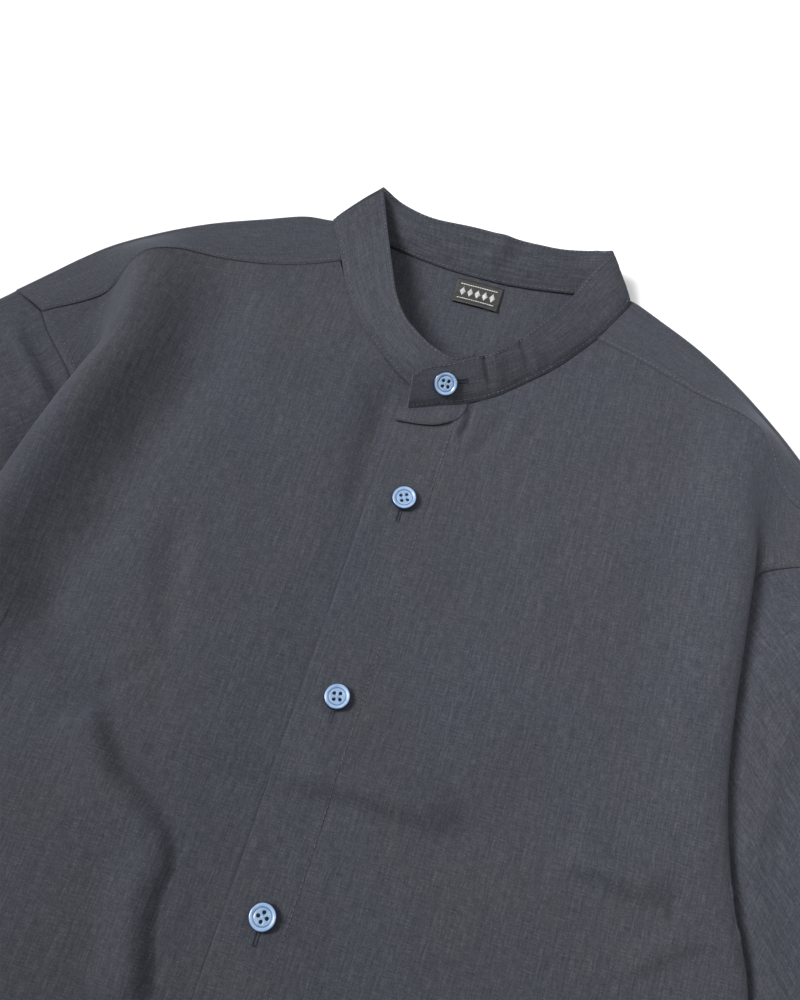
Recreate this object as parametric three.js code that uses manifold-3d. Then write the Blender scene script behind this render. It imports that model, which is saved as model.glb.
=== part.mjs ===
import * as THREE from "three";
import Module from "manifold-3d";
import { mergeVertices } from "three/addons/utils/BufferGeometryUtils.js";

// A mandarin collar shirt laid flat, face up. Millimetres, x to the wearer's left, y towards the
// collar, z up. Working zero: the floor under the collar button. The whole is then moved so that
// its box stands centred on the origin.

// Driving sizes
const CLOTH = 1.2;
const FACING = 2.0;
const BAND_CLOTH = 1.8;
const SEAM_GAP = 0.3;
const LAP_HALF = 17.5;
const FACING_WIDTH = 30;
const LAP_DROP = 3;
const HEM_Y = -675;
const HEM_RISE = 45;
const BACK_HEM_DROP = 12;
const YOKE_DEPTH_Y = -75;
const CUFF_LENGTH = 60;
const CUFF_HEIGHT = 9;
const BUTTON_DIAMETER = 13;
const BUTTON_Y = [-68, -172, -272, -375, -478, -581];

// Height of the front's upper face over the floor, along the length
const LOFT = [
  { y: 110, z: 4.5 }, { y: 85, z: 5 }, { y: 60, z: 7 }, { y: 30, z: 8.6 }, { y: 0, z: 9.8 },
  { y: -70, z: 10.5 }, { y: -170, z: 10 }, { y: -280, z: 9.2 }, { y: -400, z: 8.2 },
  { y: -550, z: 7.5 }, { y: -700, z: 7 },
];

// The front's neck edge and forward shoulder seam, x measured outwards from the centre line
const TOP_EDGE = {
  right: {
    neck: [
      [-17.5, -1], [-5, -6], [8, -6.5], [20, -1.5], [38, 11], [52, 23], [60, 33.4], [69, 47], [77, 60],
    ],
    seam: [[77, 60], [92, 53], [115, 45.5], [137, 42], [160, 38.5], [176, 32]],
  },
  left: {
    neck: [
      [-17.5, -19], [-13, -17.2], [2, -11], [16, -5], [29.6, 4.2], [42.4, 17], [55, 31], [63, 42.5], [70, 53],
    ],
    seam: [[70, 53], [94.5, 46.5], [112, 41], [129, 35], [148, 30], [162, 24]],
  },
};

// The lengthwise fold of each front, a row for each station down the body, x outwards:
// ridge is its crest, rim its outermost line, under the lowest line of the roll (or of the open
// valley near the shoulder), seam the armhole and then the side seam
const FOLD = {
  right: [
    { ridge: [176, 32, 15], rim: [183, 13], under: [191, 9], seam: [219, -20, 8] },
    { ridge: [169, 2, 22], rim: [177, 18], under: [188, 8.5], seam: [210, -31, 8] },
    { ridge: [166, -28, 26], rim: [175, 21], under: [181, 9], seam: [196, -44, 7.5] },
    { ridge: [170, -50, 28], rim: [180, 22], under: [177, 10], seam: [184, -57, 6.5] },
    { ridge: [176, -80, 28], rim: [187, 21], under: [178, 10.5], seam: [170, -84, 5.5] },
    { ridge: [182, -111, 26], rim: [193, 19], under: [182, 10.5], seam: [164, -116, 5] },
    { ridge: [188, -150, 24], rim: [198, 18], under: [184, 10], seam: [162, -160, 5] },
    { ridge: [193, -190, 21], rim: [202, 16], under: [187, 9.5], seam: [164, -200, 4.5] },
    { ridge: [198, -232, 18], rim: [206, 13], under: [192, 8], seam: [172, -236, 3.2] },
    { ridge: [206, -330, 14], rim: [213, 9], under: [210, 4.5], seam: [199, -330, 1.7] },
    { ridge: [232, -460, 10], rim: [240, 6], under: [239, 3], seam: [233, -460, 1.7] },
    { ridge: [254, -560, 9], rim: [262, 5.5], under: [261, 2.8], seam: [256, -560, 1.7] },
    { ridge: [266, -630, 8], rim: [274, 5], under: [273, 2.6], seam: [268, -630, 1.7] },
  ],
  left: [
    { ridge: [162, 24, 13], rim: [168, 12], under: [180, 8.5], seam: [214, -26, 8] },
    { ridge: [159, 2, 16], rim: [166, 13], under: [178, 8], seam: [204, -40, 8] },
    { ridge: [162, -28, 18], rim: [168, 14], under: [175, 8], seam: [190, -45, 7.5] },
    { ridge: [165, -48, 18], rim: [172, 13.5], under: [171, 8.5], seam: [175, -54, 6.5] },
    { ridge: [167, -80, 18], rim: [174, 13], under: [168, 9], seam: [162, -84, 5.5] },
    { ridge: [169, -121, 17], rim: [176, 12.5], under: [169, 9], seam: [156, -126, 5] },
    { ridge: [174, -160, 17], rim: [180, 12.5], under: [172, 9], seam: [156, -166, 4.8] },
    { ridge: [183, -199, 16], rim: [190, 12], under: [181, 8.5], seam: [162, -206, 4.4] },
    { ridge: [197, -240, 15], rim: [204, 11], under: [196, 7.5], seam: [176, -242, 3.2] },
    { ridge: [208, -330, 12], rim: [215, 8], under: [212, 4.5], seam: [201, -330, 1.7] },
    { ridge: [232, -460, 10], rim: [240, 6], under: [239, 3], seam: [233, -460, 1.7] },
    { ridge: [254, -560, 9], rim: [262, 5.5], under: [261, 2.8], seam: [256, -560, 1.7] },
    { ridge: [266, -630, 8], rim: [274, 5], under: [273, 2.6], seam: [268, -630, 1.7] },
  ],
};
const RIDGE_SOFTNESS = { right: 26, left: 17 };
const UNDERARM_ROW = 8;

// Valley that runs beside each ridge, on its inner side
const VALLEY = {
  right: { inside: 42, width: 20, depth: 3.2, fromY: 20, toY: -190 },
  left: { inside: 34, width: 14, depth: 1.4, fromY: 10, toY: -190 },
};

// Largest folds of the fronts: a soft trough or ridge along a short path
const CREASES = [
  {
    name: "s_trough_upper", height: -3.2, width: 13,
    path: [[-76, -172], [-96, -200], [-110, -208], [-96, -224]],
  },
  {
    name: "s_trough_lower", height: -3.6, width: 13,
    path: [[-96, -224], [-66, -246], [-50, -264], [-48, -292], [-42, -322]],
  },
  { name: "s_ridge", path: [[-78, -262], [-70, -292], [-66, -330]], height: 2.4, width: 16 },
  { name: "middle_trough", path: [[24, -204], [46, -209], [76, -216]], height: -2.6, width: 11 },
  { name: "middle_ridge", path: [[30, -225], [52, -229], [80, -232]], height: 1.8, width: 13 },
  { name: "right_tuck", path: [[121, -206], [150, -214], [176, -221]], height: -3.4, width: 9 },
  { name: "right_tuck_ridge", path: [[128, -226], [156, -232], [178, -236]], height: 2.4, width: 10 },
  { name: "right_tuck_lower", path: [[140, -258], [160, -244], [184, -228]], height: -2.6, width: 8 },
  { name: "chest_drape", path: [[-118, -60], [-88, -150], [-60, -230]], height: 1.6, width: 34 },
  { name: "chest_drape_other", path: [[88, -40], [80, -120], [60, -190]], height: 1.2, width: 34 },
  { name: "lower_swell", path: [[30, -300], [62, -400], [70, -520]], height: 1.8, width: 34 },
  { name: "lower_swell_other", path: [[-120, -360], [-104, -460], [-112, -590]], height: 2, width: 32 },
  { name: "hem_wave", path: [[150, -430], [176, -540], [182, -640]], height: -1.6, width: 26 },
];

// Outline of each shoulder's fold, from the neck to the shoulder point, x outwards
const SHOULDER = {
  right: [
    [92, 85], [105, 83.5], [126, 75], [152, 64], [168, 55.5],
    [184, 45.5], [201, 33], [214, 20], [227, 5], [240, -10],
  ],
  left: [
    [84, 83], [102, 75], [124, 64], [144, 51], [161, 38],
    [176, 25], [190, 12], [205, 2], [224, -5], [240, -12],
  ],
};
const SHOULDER_ROLL = 3.2;
const SHOULDER_STRIP = 14;

// Back of the neck: the seam where the band stands on the yoke, x to the wearer's left
const BACK_NECK = [
  [-88, 79], [-70, 80], [-54, 77.5], [-36, 74.5], [-10, 72],
  [16, 72.5], [33, 74.5], [50, 77.5], [66, 79], [80, 77],
];

// The standing band from its under end, round by the wearer's right and the back, to its upper
// end: foot on the neck seam and top edge, at the band's outer face
const BAND = [
  { foot: [15, -1.5, 9.6], top: [11.9, 17, 20.8] }, { foot: [5, -7, 9.4], top: [1.6, 11.3, 21.2] },
  { foot: [-8, -7.5, 9.8], top: [-9.7, 14.1, 21.6] }, { foot: [-20, -2.4, 11.4], top: [-18.8, 18.9, 22.2] },
  { foot: [-37.7, 10.2, 11], top: [-28.9, 27.2, 21.2] }, { foot: [-51.6, 22, 10.6], top: [-37.9, 39.9, 20] },
  { foot: [-60, 32.4, 10.1], top: [-43.9, 52.8, 19] }, { foot: [-69.4, 46.8, 9.4], top: [-50.4, 67.8, 18] },
  { foot: [-78.5, 65.2, 9], top: [-57.8, 85.3, 16.5] }, { foot: [-86, 78, 9], top: [-63.1, 97.9, 19] },
  { foot: [-88.5, 84, 8.8], top: [-65.8, 104, 20] }, { foot: [-82, 85.5, 8.2], top: [-62.6, 103.4, 18.4] },
  { foot: [-66, 82, 3.2], top: [-54.4, 101.7, 13.6] }, { foot: [-36, 76.5, 2.2], top: [-36.3, 96.7, 14.1] },
  { foot: [-10, 74, 2.2], top: [-9.8, 97.1, 14.6] }, { foot: [16, 74.5, 2.2], top: [16.9, 96.6, 14.6] },
  { foot: [33, 76.5, 2.2], top: [37.4, 97.7, 14.1] }, { foot: [58, 80.5, 3.2], top: [53.8, 101.7, 13.6] },
  { foot: [75, 83.5, 8.2], top: [62, 100.5, 18.8] }, { foot: [81, 82, 8.8], top: [65.3, 100.5, 20] },
  { foot: [80, 75, 9], top: [62, 92.9, 19.4] }, { foot: [76, 65.9, 9.2], top: [56.9, 84.3, 16.6] },
  { foot: [69.6, 52.1, 9.6], top: [51.3, 67.7, 18] }, { foot: [62.9, 41.7, 10.2], top: [44.7, 54, 19.4] },
  { foot: [54.9, 29.8, 10.6], top: [38.5, 43.3, 20.5] }, { foot: [42.4, 15.9, 11.2], top: [30.3, 29.5, 21.9] },
  { foot: [29.6, 3.3, 11.6], top: [21.5, 19.6, 22.8] }, { foot: [16.1, -5.8, 12], top: [12.5, 13.3, 23.5] },
  { foot: [1.8, -12.1, 12.2], top: [1.5, 6.1, 23.9] }, { foot: [-8, -16.3, 12.2], top: [-8.7, 0.5, 23.9] },
  { foot: [-13.5, -18.4, 12.2], top: [-14.6, -5.9, 22.6] },
];
const COLLAR_BUTTON_ROW = 28;

// Sleeve edges from the shoulder point and from the underarm to the cuff, x outwards
const SLEEVE_OUTER = [[275, -53], [311, -112], [342, -182], [374, -268], [404, -370], [432, -480]];
const SLEEVE_INNER = [[208, -304], [248, -378], [288, -450], [318, -510]];
const SLEEVE_LOFT = [
  { v: 0, z: 8 }, { v: 0.12, z: 9.5 }, { v: 0.35, z: 11 }, { v: 0.7, z: 9.5 }, { v: 1, z: 9 },
];
// Puckers of the upper sleeve, across its length at the places given along it and across it
const SLEEVE_PUCKERS = [
  { along: 0.06, across: 0.28, height: 3.2, length: 0.07, width: 0.12 },
  { along: 0.12, across: 0.4, height: -2.4, length: 0.035, width: 0.16 },
  { along: 0.2, across: 0.25, height: 2, length: 0.05, width: 0.24 },
  { along: 0.42, across: 0.7, height: -2, length: 0.03, width: 0.22 },
  { along: 0.5, across: 0.55, height: 2, length: 0.05, width: 0.26 },
  { along: 0.74, across: 0.6, height: -1.6, length: 0.03, width: 0.24 },
  { along: 0.9, across: 0.4, height: 1.6, length: 0.05, width: 0.2 },
];

// Label inside the back of the neck
const LABEL = { centerX: 1, topY: 71, width: 26, depth: 15, thickness: 0.6 };

// Colours and finish
const CLOTH_COLOUR = new THREE.Color(0.078, 0.084, 0.107);
const BUTTON_COLOUR = new THREE.Color(0.27, 0.38, 0.54);
const LABEL_COLOUR = new THREE.Color(0.02, 0.02, 0.022);
const clothMaterial = (name) =>
  new THREE.MeshStandardMaterial({ name, color: CLOTH_COLOUR, roughness: 0.85, metalness: 0 });
const buttonMaterial = () =>
  new THREE.MeshStandardMaterial({ name: "button", color: BUTTON_COLOUR, roughness: 0.25, metalness: 0 });
const labelMaterial = () =>
  new THREE.MeshStandardMaterial({ name: "label", color: LABEL_COLOUR, roughness: 0.8, metalness: 0 });

const wasm = await Module();
wasm.setup();

// Plain number helpers
const lerp = THREE.MathUtils.lerp;
const smoothstep = (x, from, to) => {
  const t = THREE.MathUtils.clamp((x - from) / (to - from), 0, 1);
  return t * t * (3 - 2 * t);
};
const bell = (x) => Math.exp(-x * x);

// Smooth curve through table points: value as a function of a key that runs one way
function curveThrough(keys, values) {
  const rising = keys[keys.length - 1] > keys[0];
  const k = rising ? keys : [...keys].reverse();
  const v = rising ? values : [...values].reverse();
  const last = k.length - 1;
  const slope = k.map((_, i) => {
    const a = Math.max(0, i - 1);
    const b = Math.min(last, i + 1);
    return (v[b] - v[a]) / (k[b] - k[a]);
  });
  return (x) => {
    const at = THREE.MathUtils.clamp(x, k[0], k[last]);
    let i = 0;
    while (i < last - 1 && at > k[i + 1]) i++;
    const span = k[i + 1] - k[i];
    const t = (at - k[i]) / span;
    const t2 = t * t;
    const t3 = t2 * t;
    return (2 * t3 - 3 * t2 + 1) * v[i] + (t3 - 2 * t2 + t) * span * slope[i]
      + (-2 * t3 + 3 * t2) * v[i + 1] + (t3 - t2) * span * slope[i + 1];
  };
}

const loftAt = curveThrough(LOFT.map((r) => r.y), LOFT.map((r) => r.z));
const hemAt = (x) => HEM_Y + HEM_RISE * smoothstep(Math.abs(x), 110, 262);

// Each side's fold as curves over the length
function foldCurves(rows) {
  const y = rows.map((r) => r.ridge[1]);
  const over = (pick) => curveThrough(y, rows.map(pick));
  return {
    ridgeX: over((r) => r.ridge[0]), ridgeZ: over((r) => r.ridge[2]),
    rimX: over((r) => r.rim[0]), rimZ: over((r) => r.rim[1]),
    underX: over((r) => r.under[0]), underZ: over((r) => r.under[1]),
    seamX: over((r) => r.seam[0]), seamY: over((r) => r.seam[1]), seamZ: over((r) => r.seam[2]),
  };
}
const SIDES = ["right", "left"].map((name) => ({
  name, sign: name === "right" ? -1 : 1, fold: foldCurves(FOLD[name]), rows: FOLD[name],
}));

// Distance from a point to a path of straight runs
function pathDistance(path, x, y) {
  let best = Infinity;
  for (let i = 0; i + 1 < path.length; i++) {
    const [ax, ay] = path[i];
    const [bx, by] = path[i + 1];
    const dx = bx - ax;
    const dy = by - ay;
    const t = THREE.MathUtils.clamp(((x - ax) * dx + (y - ay) * dy) / (dx * dx + dy * dy), 0, 1);
    best = Math.min(best, Math.hypot(x - ax - t * dx, y - ay - t * dy));
  }
  return best;
}

// Height of the fronts' upper face at a plan point, x to the wearer's left
function frontHeight(side, x, y) {
  const out = x * side.sign;
  const base = loftAt(y);
  const inside = side.fold.ridgeX(y) - out;
  const ridge = (side.fold.ridgeZ(y) - base) * bell(inside / RIDGE_SOFTNESS[side.name]);
  const v = VALLEY[side.name];
  const along = smoothstep(y, v.toY - 60, v.toY) * (1 - smoothstep(y, v.fromY, v.fromY + 30));
  const valley = -v.depth * along * bell((inside - v.inside) / v.width);
  const creases = CREASES.reduce((z, c) => z + c.height * bell(pathDistance(c.path, x, y) / c.width), 0);
  return base + ridge + valley + creases;
}

// Closed wall between a grid of outer points and the same grid moved in along its normals
function wall(grid, thickness, flip = 1, closedRows = false) {
  const rowCount = grid.length;
  const columnCount = grid[0].length;
  const at = (j, i) => grid[THREE.MathUtils.clamp(j, 0, rowCount - 1)][
    closedRows ? (i + columnCount) % columnCount : THREE.MathUtils.clamp(i, 0, columnCount - 1)];
  const outer = [];
  const inner = [];
  for (let j = 0; j < rowCount; j++) {
    for (let i = 0; i < columnCount; i++) {
      const across = at(j, i + 1).clone().sub(at(j, i - 1));
      const along = at(j + 1, i).clone().sub(at(j - 1, i));
      const normal = across.cross(along).normalize().multiplyScalar(flip);
      const t = typeof thickness === "function" ? thickness(j, i) : thickness;
      outer.push(at(j, i));
      inner.push(at(j, i).clone().addScaledVector(normal, -t));
    }
  }
  const points = [...outer, ...inner];
  const shift = outer.length;
  const faces = [];
  const quad = (a, b, c, d) => faces.push(a, b, c, a, c, d);
  const columns = closedRows ? columnCount : columnCount - 1;
  for (let j = 0; j + 1 < rowCount; j++) {
    for (let i = 0; i < columns; i++) {
      const a = j * columnCount + i;
      const b = j * columnCount + (i + 1) % columnCount;
      const c = b + columnCount;
      const d = a + columnCount;
      quad(a, b, c, d);
      quad(shift + b, shift + a, shift + d, shift + c);
    }
  }
  for (let i = 0; i < columns; i++) {
    const a = i;
    const b = (i + 1) % columnCount;
    const c = (rowCount - 1) * columnCount + i;
    const d = (rowCount - 1) * columnCount + (i + 1) % columnCount;
    quad(b, a, shift + a, shift + b);
    quad(c, d, shift + d, shift + c);
  }
  if (!closedRows) {
    for (let j = 0; j + 1 < rowCount; j++) {
      const a = j * columnCount;
      const b = a + columnCount;
      const c = a + columnCount - 1;
      const d = b + columnCount - 1;
      quad(a, b, shift + b, shift + a);
      quad(d, c, shift + c, shift + d);
    }
  }
  return orient(points, faces);
}

// Geometry from points and faces, turned so that its faces point out
function orient(points, faces) {
  let volume = 0;
  for (let f = 0; f < faces.length; f += 3) {
    const [a, b, c] = [points[faces[f]], points[faces[f + 1]], points[faces[f + 2]]];
    volume += a.dot(b.clone().cross(c));
  }
  if (volume < 0) faces.reverse();
  const geometry = new THREE.BufferGeometry();
  geometry.setAttribute("position", new THREE.Float32BufferAttribute(points.flatMap((p) => p.toArray()), 3));
  geometry.setIndex(faces);
  geometry.computeVertexNormals();
  return geometry;
}

// Solids for joining and cutting
function toSolid(geometry) {
  const bare = geometry.clone();
  bare.deleteAttribute("normal");
  bare.deleteAttribute("uv");
  const merged = mergeVertices(bare, 1e-4);
  return new wasm.Manifold(new wasm.Mesh({
    numProp: 3,
    vertProperties: new Float32Array(merged.attributes.position.array),
    triVerts: new Uint32Array(merged.index.array),
  }));
}

function fromSolid(solid) {
  const mesh = solid.getMesh();
  const geometry = new THREE.BufferGeometry();
  geometry.setAttribute("position", new THREE.BufferAttribute(new Float32Array(mesh.vertProperties), 3));
  geometry.setIndex(new THREE.BufferAttribute(new Uint32Array(mesh.triVerts), 1));
  geometry.computeVertexNormals();
  return geometry;
}

const shirt = new THREE.Group();
function add(name, geometry, material) {
  const mesh = new THREE.Mesh(geometry, material);
  mesh.name = name;
  shirt.add(mesh);
  return mesh;
}

// Front panels: facing, chest up to the ridge, then the roll and what is tucked beneath it
const FRONT_ROWS = 23;
const CHEST_COLUMNS = 12;
const ROLL_SAMPLES = [0.3, 0.4, 0.5, 0.6, 0.7, 0.8, 0.9, 1];
// Where the tucked cloth turns down to the seam: how far out of it, and how far under the roll
const HEEL = { out: 2.2, drop: 0.2 };

function topEdgeAt(side) {
  const { neck, seam } = TOP_EDGE[side.name];
  const neckCurve = curveThrough(neck.map((p) => p[0]), neck.map((p) => p[1]));
  const seamCurve = curveThrough(seam.map((p) => p[0]), seam.map((p) => p[1]));
  const corner = seam[0][0];
  return { corner, at: (out) => (out < corner ? neckCurve(out) : seamCurve(out)) };
}

// Columns of the chest as shares of the way from the facing's edge to the ridge, with one on the
// corner between neck and shoulder seam
function chestShares(from, corner, to) {
  const cornerShare = (corner - from) / (to - from);
  const cornerColumn = Math.round(cornerShare * CHEST_COLUMNS);
  return Array.from({ length: CHEST_COLUMNS + 1 }, (_, i) => (i <= cornerColumn
    ? cornerShare * i / cornerColumn
    : lerp(cornerShare, 1, (i - cornerColumn) / (CHEST_COLUMNS - cornerColumn))));
}

function frontGrid(side) {
  const { fold, sign } = side;
  const top = topEdgeAt(side);
  const stitch = FACING_WIDTH - LAP_HALF;
  const ridgeTop = side.rows[0].ridge;
  const ridgeEndY = side.rows[side.rows.length - 1].ridge[1];
  const shares = chestShares(stitch, top.corner, ridgeTop[0]);
  const isUnder = side.name === "right";
  const grid = [];
  for (let j = 0; j <= FRONT_ROWS; j++) {
    const w = Math.pow(j / FRONT_ROWS, 1.25);
    const ridgeY = lerp(ridgeTop[1], ridgeEndY, w);
    const ridgeX = fold.ridgeX(ridgeY);
    const row = [];
    const place = (out, topOut, hemOut) => {
      const y = lerp(top.at(topOut), hemAt(hemOut), w);
      const x = out * sign;
      const drop = isUnder ? LAP_DROP * (1 - smoothstep(out, LAP_HALF + 1, LAP_HALF + 6)) : 0;
      row.push(new THREE.Vector3(x, y, frontHeight(side, x, y) - drop));
    };
    for (const out of [-LAP_HALF, -LAP_HALF / 3, stitch - 0.5]) place(out, out, out);
    if (isUnder) place(LAP_HALF + 1, LAP_HALF + 1, LAP_HALF + 1);
    shares.forEach((share, i) => {
      if (isUnder && i === 0) return;
      const outs = [ridgeX, ridgeTop[0], fold.ridgeX(ridgeEndY)].map((end) => lerp(stitch, end, share));
      place(...outs);
    });
    const ridge = row[row.length - 1];
    const seam = new THREE.Vector3(fold.seamX(ridgeY) * sign, fold.seamY(ridgeY), fold.seamZ(ridgeY));
    const rim = new THREE.Vector3(fold.rimX(ridgeY) * sign, lerp(ridge.y, seam.y, 0.2), fold.rimZ(ridgeY));
    const underY = lerp(ridge.y, seam.y, 0.6);
    const under = new THREE.Vector3(fold.underX(ridgeY) * sign, underY, fold.underZ(ridgeY));
    const heel = seam.clone().lerp(under, Math.min(0.6, HEEL.out / Math.abs(under.x - seam.x)));
    heel.z = Math.max(seam.z, under.z - HEEL.drop);
    const path = [row[row.length - 2], ridge, rim, under, heel, seam];
    const roll = new THREE.CatmullRomCurve3(path, false, "centripetal");
    for (const t of ROLL_SAMPLES) row.push(roll.getPoint(t));
    grid.push(row);
  }
  return grid;
}

for (const side of SIDES) {
  const grid = frontGrid(side);
  const thickness = (j, i) => (i <= 2 ? FACING : CLOTH);
  add(`front_${side.name}`, wall(grid, thickness, -side.sign), clothMaterial(`cloth_front_${side.name}`));
}

// Armhole and side seam in plan, from the shoulder's end to the hem
function sidePlan(side) {
  return frontGrid(side).map((row) => row[row.length - 1]).map((p) => new THREE.Vector2(p.x, p.y));
}

// Point where a plan line crosses a given y
function crossing(plan, y) {
  const i = plan.findIndex((p, n) => n + 1 < plan.length && p.y >= y && plan[n + 1].y < y);
  const t = (plan[i].y - y) / (plan[i].y - plan[i + 1].y);
  return { index: i, point: plan[i].clone().lerp(plan[i + 1], t) };
}

function flatPanel(points, thickness) {
  return new THREE.ExtrudeGeometry(new THREE.Shape(points), { depth: thickness, bevelEnabled: false });
}

// Back panel, flat on the floor from the yoke's seam to the hem
function backPanel() {
  const topY = YOKE_DEPTH_Y - SEAM_GAP;
  const edges = SIDES.map((side) => {
    const plan = sidePlan(side);
    const { index, point } = crossing(plan, topY);
    return [point, ...plan.slice(index + 1)];
  });
  const hemSteps = 12;
  const hemHalf = edges[0][edges[0].length - 1].x;
  const hem = [];
  for (let i = 0; i <= hemSteps; i++) {
    const x = lerp(hemHalf, -hemHalf, i / hemSteps);
    hem.push(new THREE.Vector2(x, hemAt(x) - BACK_HEM_DROP));
  }
  return flatPanel([...edges[0], ...hem, ...edges[1].reverse()], CLOTH);
}
add("back", fromSolid(toSolid(backPanel())), clothMaterial("cloth_back"));

// Yoke: a flat layer under the neck and shoulders, with a wing folded forward over each shoulder
const WING_SAMPLES = 5;
const WING_GAP = 0.9;

// Stations of a wing: where it meets the front, and the fold's outline beside it
function wingStations(side) {
  const corner = topEdgeAt(side).corner;
  const seam = frontGrid(side)[0].filter((p) => p.x * side.sign > corner - 0.5);
  const seamLine = new THREE.CatmullRomCurve3(seam, false, "centripetal");
  const edgeLine = new THREE.CatmullRomCurve3(
    SHOULDER[side.name].map(([x, y]) => new THREE.Vector3(x * side.sign, y, 0)), false, "centripetal");
  const total = seamLine.getLength();
  let run = 0;
  return seam.map((p, i) => {
    run += i > 0 ? p.distanceTo(seam[i - 1]) : 0;
    const edge = edgeLine.getPointAt(Math.min(1, run / total));
    return { edge: new THREE.Vector2(edge.x, edge.y), seam: new THREE.Vector2(p.x, p.y), seamZ: p.z };
  });
}

function wingGrid(side) {
  return wingStations(side).map(({ edge, seam, seamZ }) => {
    const reach = edge.distanceTo(seam) - WING_GAP;
    const at = (s, z) => {
      const p = edge.clone().lerp(seam, s / (reach + WING_GAP));
      return new THREE.Vector3(p.x, p.y, z);
    };
    const roll = SHOULDER_ROLL;
    const row = [at(SHOULDER_STRIP, 0), at(roll, 0)];
    for (const angle of [0.25, 0.5, 0.75, 1]) {
      row.push(at(roll - roll * Math.sin(Math.PI * angle), roll - roll * Math.cos(Math.PI * angle)));
    }
    for (let i = 1; i <= WING_SAMPLES; i++) {
      const t = i / WING_SAMPLES;
      const crown = Math.sin(Math.PI * t) * 0.8;
      row.push(at(lerp(roll, reach, t), lerp(2 * roll, seamZ, t) + crown));
    }
    return row;
  });
}

function yokePlate() {
  const inset = SHOULDER_ROLL + 2;
  const edges = SIDES.map((side) => {
    const shoulder = wingStations(side).map(({ edge, seam }) =>
      edge.clone().lerp(seam, inset / edge.distanceTo(seam)));
    const plan = sidePlan(side);
    const { index, point } = crossing(plan, YOKE_DEPTH_Y);
    return [...shoulder, ...plan.slice(0, index + 1), point];
  });
  const neck = BACK_NECK.map(([x, y]) => new THREE.Vector2(x, y));
  return flatPanel([...neck, ...edges[1], ...edges[0].reverse()], CLOTH);
}

function yoke() {
  let solid = toSolid(yokePlate());
  for (const side of SIDES) solid = solid.add(toSolid(wall(wingGrid(side), CLOTH, side.sign)));
  return fromSolid(solid);
}
add("yoke", yoke(), clothMaterial("cloth_yoke"));

// Standing collar band, with lapped ends
const BAND_STEPS = [0, 0.3, 0.65, 1];
const BAND_BULGE = 0.8;
function bandRow({ foot, top }) {
  const a = new THREE.Vector3(...foot);
  const b = new THREE.Vector3(...top);
  return BAND_STEPS.map((t) =>
    a.clone().lerp(b, t).setZ(lerp(a.z, b.z, t) + BAND_BULGE * Math.sin(Math.PI * t)));
}
const bandGrid = BAND.map(bandRow);
add("collar", wall(bandGrid, BAND_CLOTH, 1), clothMaterial("cloth_collar"));

// Sleeves: flattened tubes from the armhole to the cuff
const SLEEVE_RINGS = 14;
const RING_END = 3;
const SLEEVE_ROLL = 4;

const planCurve = (points, sign) =>
  new THREE.CatmullRomCurve3(points.map(([x, y]) => new THREE.Vector3(x * sign, y, 0)), false, "centripetal");

// Armhole from the shoulder point down the front's edge to the underarm
const ARMHOLE_GAP = 0.7;
function armholeCurve(side) {
  const underarmY = side.rows[UNDERARM_ROW].seam[1];
  const edge = frontGrid(side).map((row) => row[row.length - 1]).filter((p) => p.y > underarmY - 12);
  const shoulder = SHOULDER[side.name];
  const [x, y] = shoulder[shoulder.length - 1];
  const points = [new THREE.Vector3(x * side.sign, y, 2 * SHOULDER_ROLL), ...edge];
  const moved = points.map((p, i) => {
    const before = points[Math.max(0, i - 1)];
    const after = points[Math.min(points.length - 1, i + 1)];
    const run = after.clone().sub(before).setZ(0).normalize();
    const outwards = new THREE.Vector3(-run.y * side.sign, run.x * side.sign, 0);
    return p.clone().addScaledVector(outwards, ARMHOLE_GAP);
  });
  return new THREE.CatmullRomCurve3(moved, false, "centripetal");
}

// Shares of the armhole's length at the stations that it has in common with the front
function armholeShares(armhole) {
  const total = armhole.getLength();
  const lengths = armhole.getLengths(400);
  const count = armhole.points.length - 1;
  return armhole.points.map((_, i) => lengths[Math.round(400 * i / count)] / total);
}

const sleeveLoftAt = curveThrough(SLEEVE_LOFT.map((r) => r.v), SLEEVE_LOFT.map((r) => r.z));

function sleeveHeight(u, v, armhole) {
  const puckers = SLEEVE_PUCKERS.reduce((z, p) =>
    z + p.height * bell((v - p.along) / p.length) * bell((u - p.across) / p.width), 0);
  const lowInside = lerp(1, 0.72, smoothstep(u, 0.55, 1) * (1 - smoothstep(v, 0.3, 0.6)));
  return lerp(armhole.getPointAt(u).z, sleeveLoftAt(v) * lowInside + puckers, smoothstep(v, 0, 0.1));
}

// The sleeve stays low where the front's roll lies over it
const ROLL_CLEARANCE = 2.6;
function underRoll(side, x, y, height) {
  const { fold, rows, sign } = side;
  const rim = fold.rimX(y);
  const beside = 1 - smoothstep(x * sign, rim, rim + 12);
  const below = smoothstep(-y, -rows[2].ridge[1], -rows[4].ridge[1]);
  const cap = fold.underZ(y) - ROLL_CLEARANCE;
  return lerp(height, Math.min(height, cap), beside * below);
}

// Places round a sleeve ring: s across its width, level from -1 on the floor to 1 on top
function ringPlaces(width, endRadius, shares) {
  const across = shares.map((u) => THREE.MathUtils.clamp(u * width, endRadius, width - endRadius));
  const places = across.map((s) => ({ s, level: 1 }));
  for (let i = 1; i < RING_END; i++) {
    const a = Math.PI * i / RING_END;
    places.push({ s: width - endRadius + endRadius * Math.sin(a), level: Math.cos(a) });
  }
  for (const s of across.reverse()) places.push({ s, level: -1 });
  for (let i = 1; i < RING_END; i++) {
    const a = Math.PI * i / RING_END;
    places.push({ s: endRadius - endRadius * Math.sin(a), level: -Math.cos(a) });
  }
  return places;
}

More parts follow.
